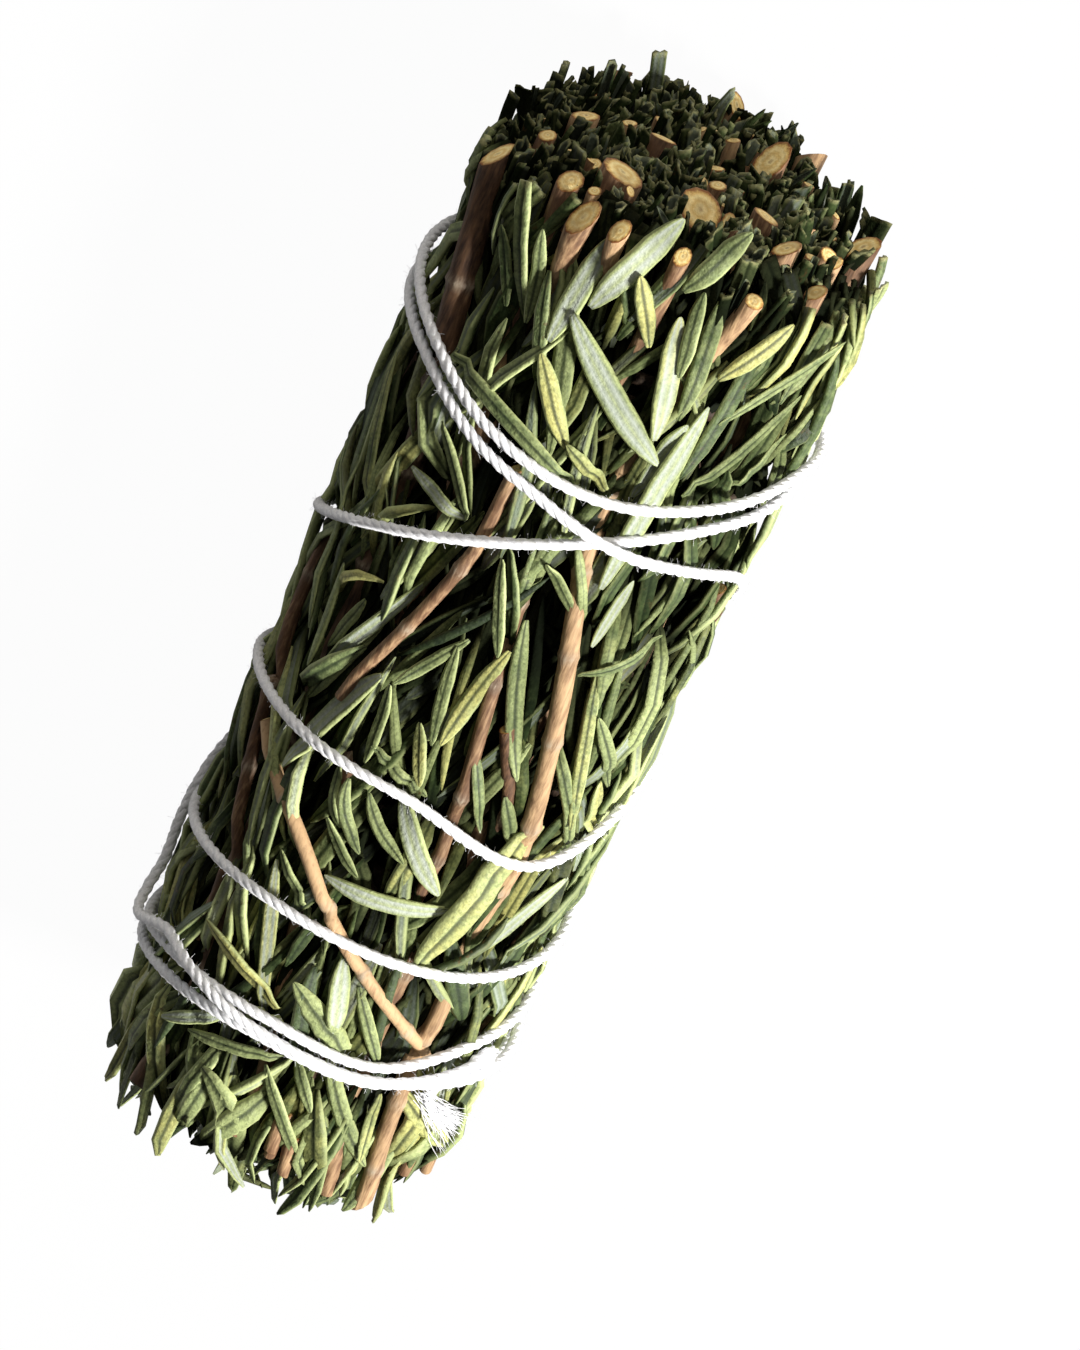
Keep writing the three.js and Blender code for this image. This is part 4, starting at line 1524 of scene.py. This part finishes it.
# The leaves laid last, on the upper side.
UPPER_LEAVES = (
    Leaf(41, -15, 160, 12, 2.5, Face.UNDER, 0.9),
    Leaf(36.5, -21, 175, 11, 2.1, Face.UNDER, 0.75),
    Leaf(32, 16, -168, 12, 2.2, Face.UNDER, 0.7, 0.9),
    Leaf(25.5, 19, 173, 9, 1.8, Face.UNDER, 0.75),
    Leaf(10.4, 27, 173, 7.5, 1.3, Face.UNDER, 1.0),
    Leaf(25, 2, -107, 17, 1.7, Face.TOP, 0.6, 0.3, 20),
    Leaf(28, -5, -145, 9, 1.8, Face.TOP, 0.85, 0.95),
    Leaf(25.6, 11, -121, 6, 1.4, Face.TOP, 0.8, 0.9),
    Leaf(40, 4, -153, 7, 1.7, Face.TOP, 0.85, 0.95),
    Leaf(34.4, 20, -175, 12.6, 1.7, Face.TOP, 0.6, 0.3, 10),
    Leaf(38.7, 14, -174, 8, 1.4, Face.TOP, 0.65),
    Leaf(46, 6, 156, 8, 2.0, Face.TOP, 0.7, 0.3),
    Leaf(39, 26, 146, 8, 1.7, Face.TOP, 0.9, 0.95),
    Leaf(35, 63, 175, 8.4, 1.7, Face.TOP, 0.9, 0.95),
    Leaf(29, 81, 176, 15, 1.3, Face.TOP, 0.6),
    Leaf(35, 31, 132, 13.4, 1.2, Face.TOP, 0.65, 0.4, -16),
    Leaf(27, 32, 142, 13.8, 1.4, Face.TOP, 0.6, 0.4, 12),
    Leaf(28, 48, 142, 7, 1.2, Face.TOP, 0.55),
    Leaf(36.5, -38, -151, 7, 1.3, Face.TOP, 0.5),
    Leaf(36.4, -30, -168, 8.7, 1.3, Face.TOP, 0.7),
    Leaf(18, -46, 83, 7.6, 1.2, Face.UNDER, 0.8),
    Leaf(17.3, -22, -137, 9, 1.4, Face.TOP, 0.7),
    Leaf(7.7, 5, -11, 11.4, 1.7, Face.TOP, 0.85, 0.95, 8),
    Leaf(11.2, 5.5, 20, 16.7, 1.8, Face.TOP, 0.7, 0.4, 15),
    Leaf(7.1, -7, -32, 8.6, 1.2, Face.TOP, 0.7),
    Leaf(6.1, -9, 9, 10.2, 1.3, Face.TOP, 0.75, 0.4, 10),
    Leaf(-0.4, -22, 4, 8.5, 1.3, Face.TOP, 0.7),
    Leaf(-0.4, -26, -22, 15, 2.5, Face.UNDER, 0.9, 0.2, 22),
    Leaf(-2.5, -10, 23, 6.3, 1.5, Face.TOP, 0.85, 0.9),
    Leaf(-6.9, -20, 69, 7.3, 1.3, Face.TOP, 0.7),
    Leaf(-9.7, -6, 41, 11.2, 2.2, Face.UNDER, 0.85, 0.3, 18),
    Leaf(-10.3, -27, 25, 6.4, 1.3, Face.TOP, 0.75, 0.5, 40),
    Leaf(-10.9, -22, 31, 7.7, 1.3, Face.TOP, 0.7, 0.5, 50),
    Leaf(-11.3, -15, 51, 7.6, 1.3, Face.TOP, 0.75, 0.5, 45),
    Leaf(-15.4, -23, 50, 6.6, 1.3, Face.TOP, 0.7, 0.5, 35),
    Leaf(-19.4, 24, -83, 13.3, 1.8, Face.UNDER, 0.85, 0.2, -16),
    Leaf(-15.5, 61, -41, 11, 1.4, Face.UNDER, 0.8),
    Leaf(-5.5, 62, -140, 12, 1.4, Face.TOP, 0.7),
    Leaf(-11.6, 65, -153, 8.4, 2.2, Face.TOP, 0.8, 0.95),
    Leaf(5.6, -55, 7, 10.4, 1.4, Face.TOP, 0.7),
    Leaf(4.5, -42, -18, 6.8, 1.3, Face.TOP, 0.75),
    Leaf(15.9, -8, 20, 9.7, 1.4, Face.TOP, 0.7),
    Leaf(13, 18, -134, 6.5, 1.3, Face.TOP, 0.75),
    Leaf(7.2, 27, 124, 8.8, 1.1, Face.TOP, 0.6),
    Leaf(-2.5, 8, 26, 9.3, 1.2, Face.TOP, 0.65),
    Leaf(-6.6, 23, 33, 6.8, 1.4, Face.TOP, 0.7),
    Leaf(-36, -12, -108, 11.7, 1.7, Face.TOP, 0.95, 1.0, 14),
    Leaf(-38, 16, -125, 10.7, 2.4, Face.TOP, 0.85, 0.7),
    Leaf(-37, -3, -84, 8.2, 1.7, Face.TOP, 0.8, 0.6),
    Leaf(-26.7, -14, -131, 8.2, 1.3, Face.TOP, 0.7),
    Leaf(-40.3, -5, -74, 11, 1.3, Face.TOP, 0.75),
    Leaf(-44, -48, 124, 7.7, 1.3, Face.UNDER, 0.7),
    Leaf(-27.7, -1, 16, 8, 2.0, Face.UNDER, 0.85),
    Leaf(-30, 7, 35, 9, 1.3, Face.TOP, 0.7),
    Leaf(-41.4, -9, 39, 11.5, 1.5, Face.TOP, 0.75),
    Leaf(-40, -1, 40, 5.2, 1.3, Face.TOP, 0.7),
    Leaf(-37.4, 7, 38, 15, 1.7, Face.TOP, 0.75, 0.4, 20),
    Leaf(-41, 30, 4, 7.3, 1.5, Face.TOP, 0.85, 0.9),
    Leaf(-39.6, 34, 54, 15.3, 2.2, Face.TOP, 0.85, 0.92, 14),
)


# ------------------------------------------------------------------------------------------- string


@dataclass
class CottonString:
    """The one length of white cotton, of three plies twisted together, with its knot and frayed tail."""

    route: StringRoute
    ply_radius: float = 0.35
    ply_ring: float = 0.21
    pitch: float = 3.6
    step: float = 0.62
    sides: int = 6
    tail_from: tuple[float, float] = (-39.4, 39.0)  # x and turn where the frayed tail begins
    tail_run: tuple[float, float] = (-8.0, 36.0)  # how far its fibres run on, in x and in turn
    tail_fibres: int = 130
    tail_points: int = 8  # along each fibre
    fibre_half: tuple[float, float] = (0.055, 0.022)  # a fibre's half width at its root and its end
    hair_length: float = 0.8
    hairs: float = 0.9e6  # for each square metre of the string's surface

    PLIES = 3
    # The stub that leaves the knot: each point's x, turn and radius from the knot's own.
    STUB = ((-0.5, -6, 0.6), (-1.6, -11, 0.5), (-2.4, -14, 0.4), (-3.4, -13, 0.3))

    def tree(self, cotton: bpy.types.Material) -> bpy.types.NodeTree:
        """Builds the tree that twists the plies round a path and raises fine hairs on them.

        Args:
            cotton: the string's material.
        Returns:
            The tree.
        """
        sizes = {
            "Ply radius": self.ply_radius * MM, "Ply ring": self.ply_ring * MM, "Pitch": self.pitch * MM,
            "Step": self.step * MM, "Hair density": self.hairs, "Hair length": self.hair_length * MM,
        }
        tree = new_tree("twist_string", "String", sizes)
        w = NodeWriter(tree)
        given = w.node("NodeGroupInput").outputs
        # Paths with a half width are single fibres; the others are the whole string.
        half = w.out("GeometryNodeInputNamedAttribute", {"Name": "half"}, data_type="FLOAT")
        fibre = w.out("FunctionNodeCompare", {0: half, 1: 0.000001}, operation="GREATER_THAN")
        parts = w.node("GeometryNodeSeparateGeometry", {0: given["Paths"], 1: fibre}, domain="POINT").outputs
        plies = self.plies(w, parts[1], given)
        both = w.node("GeometryNodeJoinGeometry")
        for made in (plies, self.fibres(w, parts[0], half), self.fuzz(w, plies, given)):
            tree.links.new(made, both.inputs[0])
        real = w.out("GeometryNodeRealizeInstances", {0: both.outputs[0]})
        w.node("NodeGroupOutput", {0: w.out("GeometryNodeSetMaterial", {0: real, "Material": cotton})})
        return tree

    def fibres(self, w: NodeWriter, paths: Socket, half: Socket) -> Socket:
        """Makes the tail's single fibres.

        Args:
            w: the tree's node writer.
            paths: the fibres' middles, as edges.
            half: their half width.
        Returns:
            The fibres, as a mesh.
        """
        thread = w.out("GeometryNodeMeshToCurve", {0: paths})
        thin = w.out("GeometryNodeCurvePrimitiveCircle", {"Resolution": 3, "Radius": 1.0})
        return w.out("GeometryNodeCurveToMesh", {0: thread, 1: thin, "Scale": half, "Fill Caps": True})

    def plies(self, w: NodeWriter, path: Socket, given: bpy.types.NodeOutputs) -> Socket:
        """Twists the plies round the string's middle.

        Args:
            w: the tree's node writer.
            path: the string's middle, as edges.
            given: the tree's inputs.
        Returns:
            The plies, as a smooth mesh.
        """
        curve = w.out("GeometryNodeMeshToCurve", {0: path})
        curve = w.out("GeometryNodeResampleCurve", {0: curve, "Length": given["Step"]}, mode="LENGTH")
        curve = w.out("GeometryNodeSetCurveNormal", {0: curve}, mode="MINIMUM_TWIST")
        length = w.node("GeometryNodeSplineParameter").outputs["Length"]
        turns = w.math("DIVIDE", length, given["Pitch"])
        tangent, normal = w.out("GeometryNodeInputTangent"), w.out("GeometryNodeInputNormal")
        across = w.vector("CROSS_PRODUCT", tangent, normal)
        profile = w.out("GeometryNodeCurvePrimitiveCircle", {"Resolution": self.sides, "Radius": 1.0})
        joined = w.node("GeometryNodeJoinGeometry")
        for ply in range(self.PLIES):
            angle = w.math("MULTIPLY", w.math("ADD", turns, ply / self.PLIES), 2 * math.pi)
            along_normal = w.scaled(normal, w.math("COSINE", angle))
            out = w.vector("ADD", along_normal, w.scaled(across, w.math("SINE", angle)))
            strand = w.out("GeometryNodeSetPosition", {0: curve, "Offset": w.scaled(out, given["Ply ring"])})
            uneven = w.math("MULTIPLY", 0.3, w.noise(w.out("GeometryNodeInputPosition"), 900.0))
            swell = w.math("MULTIPLY", given["Ply radius"], w.math("ADD", 0.85, uneven))
            spun = {0: strand, 1: profile, "Scale": swell, "Fill Caps": True}
            w.tree.links.new(w.out("GeometryNodeCurveToMesh", spun), joined.inputs[0])
        return w.out("GeometryNodeSetShadeSmooth", {0: joined.outputs[0]}, domain="FACE")

    def fuzz(self, w: NodeWriter, plies: Socket, given: bpy.types.NodeOutputs) -> Socket:
        """Raises fine hairs on the plies.

        Args:
            w: the tree's node writer.
            plies: the plies.
            given: the tree's inputs.
        Returns:
            The hairs, as instances.
        """
        scatter = {0: plies, "Density": given["Hair density"], "Seed": given["Seed"]}
        spread = w.node("GeometryNodeDistributePointsOnFaces", scatter).outputs
        hair = w.out("GeometryNodeCurvePrimitiveLine", {"Start": (0, 0, 0), "End": (0.75, 0.0, 0.65)})
        ring = w.out("GeometryNodeCurvePrimitiveCircle", {"Resolution": 3, "Radius": 0.016})
        hair = w.out("GeometryNodeCurveToMesh", {0: hair, 1: ring, "Fill Caps": True})
        chance = w.node("FunctionNodeRandomValue", {"Seed": given["Seed"]}, data_type="FLOAT_VECTOR")
        chance.inputs[0].default_value = (-0.9, -0.9, -3.14)
        chance.inputs[1].default_value = (0.9, 0.9, 3.14)
        turned = w.out("FunctionNodeEulerToRotation", {0: chance.outputs[0]})
        turn_by = {0: spread["Rotation"], 1: turned}
        aim = w.out("FunctionNodeRotateRotation", turn_by, rotation_space="LOCAL")
        lengths = {"Seed": given["Seed"], 2: 0.4, 3: 1.0}
        share = w.node("FunctionNodeRandomValue", lengths, data_type="FLOAT").outputs[1]
        scale = w.math("MULTIPLY", given["Hair length"], share)
        sized = w.out("ShaderNodeCombineXYZ", {0: scale, 1: scale, 2: scale})
        placed = {"Points": spread["Points"], "Instance": hair, "Rotation": aim, "Scale": sized}
        return w.out("GeometryNodeInstanceOnPoints", placed)

    def paths(self, bundle: Round, rng: np.random.Generator) -> bpy.types.Mesh:
        """Sets out the string's middle: the winding, the knot's loops, its stub and the frayed tail.

        Args:
            bundle: the round that the string is wound on.
            rng: the source of chance.
        Returns:
            The middles, as a mesh of edges with a half width where they are single fibres.
        """
        k, kx, top = self.route.knot_turn, self.route.knot_x, self.route.ring
        a = np.linspace(0, 2 * math.pi * 1.5, 40)
        stub = np.array(self.STUB).T
        wound_turn, wound_x, wound_r = self.route.run(bundle)
        strands = [
            bundle.place(wound_x, wound_turn, wound_r),
            bundle.place(kx + 1.0 * np.cos(a), k + 3.6 * np.sin(a), top + 0.9 + 0.25 * np.sin(2 * a)),
            bundle.place(kx + 0.5 - 1.4 * np.sin(a * 0.8), k + 2.2 * np.cos(a), top + 0.8 + 0.3 * np.cos(a)),
            bundle.place(kx + stub[0], k + stub[1], top + stub[2]),
        ]
        halves = [np.zeros(len(strand)) for strand in strands]
        t = np.linspace(0, 1, self.tail_points)
        for _ in range(self.tail_fibres):
            start, reach = rng.uniform(0.0, 0.35), rng.uniform(0.45, 1.0)
            way = start + (reach - start) * t
            lean, wave = rng.normal(0, 1.1), rng.normal(0, 1.0, 2)
            x = self.tail_from[0] + self.tail_run[0] * way + rng.normal(0, 0.35) + lean * way
            turn = self.tail_from[1] + self.tail_run[1] * way + rng.normal(0, 1.2) + 2.5 * lean * way
            turn = turn + wave[0] * np.sin(4 * t)
            r = top + 0.1 + 0.2 * wave[1] * t + abs(rng.normal(0, 0.3))
            strands.append(bundle.place(x, turn, r))
            halves.append(np.linspace(*self.fibre_half, self.tail_points))
        edges, start = [], 0
        for strand in strands:
            edges += [(start + i, start + i + 1) for i in range(len(strand) - 1)]
            start += len(strand)
        mesh = bpy.data.meshes.new("string_paths")
        mesh.from_pydata(((np.vstack(strands) + PLACE) * MM).tolist(), edges, [])
        half = mesh.attributes.new("half", "FLOAT", "POINT")
        half.data.foreach_set("value", np.concatenate(halves) * MM)
        return mesh

    def build(self, bundle: Round, cotton: bpy.types.Material, rng: np.random.Generator) -> Piece:
        """Builds the string as one piece."""
        return grow(self.tree(cotton), self.paths(bundle, rng), "tied_string")


# ------------------------------------------------------------------------------------------- studio


@dataclass(frozen=True)
class Lamp:
    """A soft square light that faces the bundle. Its place and its size are in metres."""

    name: str
    place: Point
    size: float
    power: float
    colour: Colour

    def hang(self, target: Point) -> None:
        """Makes the light and turns it to the target.

        Args:
            target: where it points, in metres.
        """
        data = bpy.data.lights.new(self.name, "AREA")
        data.shape, data.size, data.energy, data.color = "SQUARE", self.size, self.power, self.colour
        lamp = bpy.data.objects.new(self.name, data)
        bpy.context.scene.collection.objects.link(lamp)
        lamp.location = self.place
        lamp.rotation_euler = (Vector(target) - Vector(self.place)).to_track_quat("-Z", "Y").to_euler()


@dataclass
class Studio:
    """The camera, the pale floor and the soft lights."""

    distance: float = 584.67
    aim: Point = (-1.72, -5.93, 18.3)
    back: Point = (0.4461, 0.06051, 0.89293)  # from the aim to the camera
    up: Point = (0.81034, 0.39622, -0.43169)
    lens: float = 172.9
    sensor: float = 36.0
    floor_half: float = 3.0  # metres
    surrounding: float = 0.11  # strength of the light from all round
    backdrop: float = 0.95  # how bright the surroundings look behind the bundle
    target: Point = (0.0, 0.0, 0.018)  # metres: where the lights point
    key: Lamp = Lamp("key", (0.0, -0.82, 0.76), 0.18, 34.0, (1.0, 0.985, 0.95))
    fill: Lamp = Lamp("end fill", (1.0, -0.1, 0.55), 0.6, 4.5, (1.0, 0.93, 0.82))

    def camera(self) -> None:
        """Makes the camera and gives it to the scene."""
        data = bpy.data.cameras.new("camera")
        data.lens, data.sensor_width = self.lens, self.sensor
        data.clip_start, data.clip_end = 0.01, 20.0
        camera = bpy.data.objects.new("camera", data)
        bpy.context.scene.collection.objects.link(camera)
        back = Vector(self.back).normalized()
        right = Vector(self.up).cross(back).normalized()
        up = back.cross(right)
        place = (Vector(self.aim) + Vector(PLACE) + back * self.distance) * MM
        camera.matrix_world = Matrix.Translation(place) @ Matrix((right, up, back)).transposed().to_4x4()
        bpy.context.scene.camera = camera

    def floor(self) -> None:
        """Lays the floor under the bundle."""
        h = self.floor_half
        mesh = bpy.data.meshes.new("floor")
        mesh.from_pydata([(-h, -h, 0), (h, -h, 0), (h, h, 0), (-h, h, 0)], [], [(0, 1, 2, 3)])
        mesh.materials.append(FloorFinish().material("pale_floor"))
        floor = bpy.data.objects.new("floor", mesh)
        bpy.context.scene.collection.objects.link(floor)

    def lights(self) -> None:
        """Adds the key light, a weak fill and the surrounding light, and shows their colours plainly."""
        for lamp in (self.key, self.fill):
            lamp.hang(self.target)
        world = bpy.data.worlds.new("studio")
        bpy.context.scene.world = world
        world.use_nodes = True
        w = NodeWriter(world.node_tree)
        seen = w.node("ShaderNodeLightPath").outputs["Is Camera Ray"]
        background = world.node_tree.nodes["Background"]
        background.inputs["Color"].default_value = (1.0, 1.0, 1.0, 1.0)
        strength = w.remap(seen, 0.0, 1.0, self.surrounding, self.backdrop)
        w.tree.links.new(strength, background.inputs["Strength"])
        bpy.context.scene.view_settings.view_transform = "Standard"


# ----------------------------------------------------------------------------------------- the whole


def attach(piece: Piece, node: str) -> None:
    """Makes a piece ride on the bundle and stand for its part's node.

    Args:
        piece: the piece.
        node: the node that it stands for.
    """
    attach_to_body(piece, "root")
    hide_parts(node)
    log.info("%s: %d vertices, %d faces", piece.name, len(piece.data.vertices), len(piece.data.polygons))


class Bundle:
    """The whole bundle: sprigs, twigs, loose leaves and string."""

    UNDER_SPRAYS, TOP_SPRAYS = 560, 520
    # Other leaves stay under this radius where the last ones will lie, and this far beside them.
    KEPT_RADIUS, KEPT_SIDE = 17.9, 0.2
    # The radius that the last leaves may reach, and how much they bow.
    LAST_LIMIT, LAST_BOW = 18.9, 1.2

    def __init__(self) -> None:
        """Sets out the round, the string's route and the finishes."""
        self.rng = np.random.default_rng(SEED)
        self.round, self.route = Round(), StringRoute()
        self.press = Press(self.round, self.route)
        leaf, bark = LeafFinish().material("rosemary_leaf"), BarkFinish().material("rosemary_bark")
        self.tree = GrowingTree(leaf, bark).tree
        self.foliage = Foliage(self.round, StemPlan(), self.rng)

    def lay_leaves(self) -> None:
        """Lays the leaves from the inside out, round the stems that show."""
        foliage = self.foliage
        laid = foliage.cover(self.UNDER_SPRAYS, foliage.UNDER_LIMIT)
        foliage.grow_stems()
        for twig in TWIGS:
            foliage.keep_showing(twig.stem.path(self.round), twig.stem.girth)
        for leaf in UPPER_LEAVES + tuple(loose.leaf for loose in LOOSE_LEAVES):
            foliage.relief.keep_clear(*foliage.footprint(leaf, self.KEPT_SIDE), self.KEPT_RADIUS)
        for number in range(1, StemPlan.COUNT + 1):
            foliage.fill(number)
        laid += foliage.cover(self.TOP_SPRAYS, foliage.TOP_LIMIT)
        for leaf in UPPER_LEAVES:
            foliage.lay(replace(leaf, bow=self.LAST_BOW), self.LAST_LIMIT, shown=True)
        log.info("%d leaves laid over the round", laid)

    def build(self) -> None:
        """Builds and attaches every piece."""
        self.lay_leaves()
        for number, spines in enumerate(self.foliage.sprigs, 1):
            name = f"sprig_{number:02d}"
            paths = spines.mesh(name + "_paths", self.press)
            attach(grow(self.tree, paths, "rosemary_" + name, GROWN_ATTRIBUTES), name)
        for twig in TWIGS:
            attach(twig.build(self.tree, self.round, self.press, self.rng), twig.node)
        for loose in LOOSE_LEAVES:
            attach(loose.build(self.tree, self.foliage, self.press), loose.node)
        cotton = CottonFinish().material("white_cotton")
        attach(CottonString(self.route).build(self.round, cotton, self.rng), "cotton_string")


def main() -> None:
    """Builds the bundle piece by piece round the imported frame."""
    logging.basicConfig(level=logging.INFO, format="%(name)s: %(message)s")
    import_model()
    studio = Studio()
    studio.camera()
    Bundle().build()
    studio.floor()
    studio.lights()


if __name__ == "__main__":
    main()
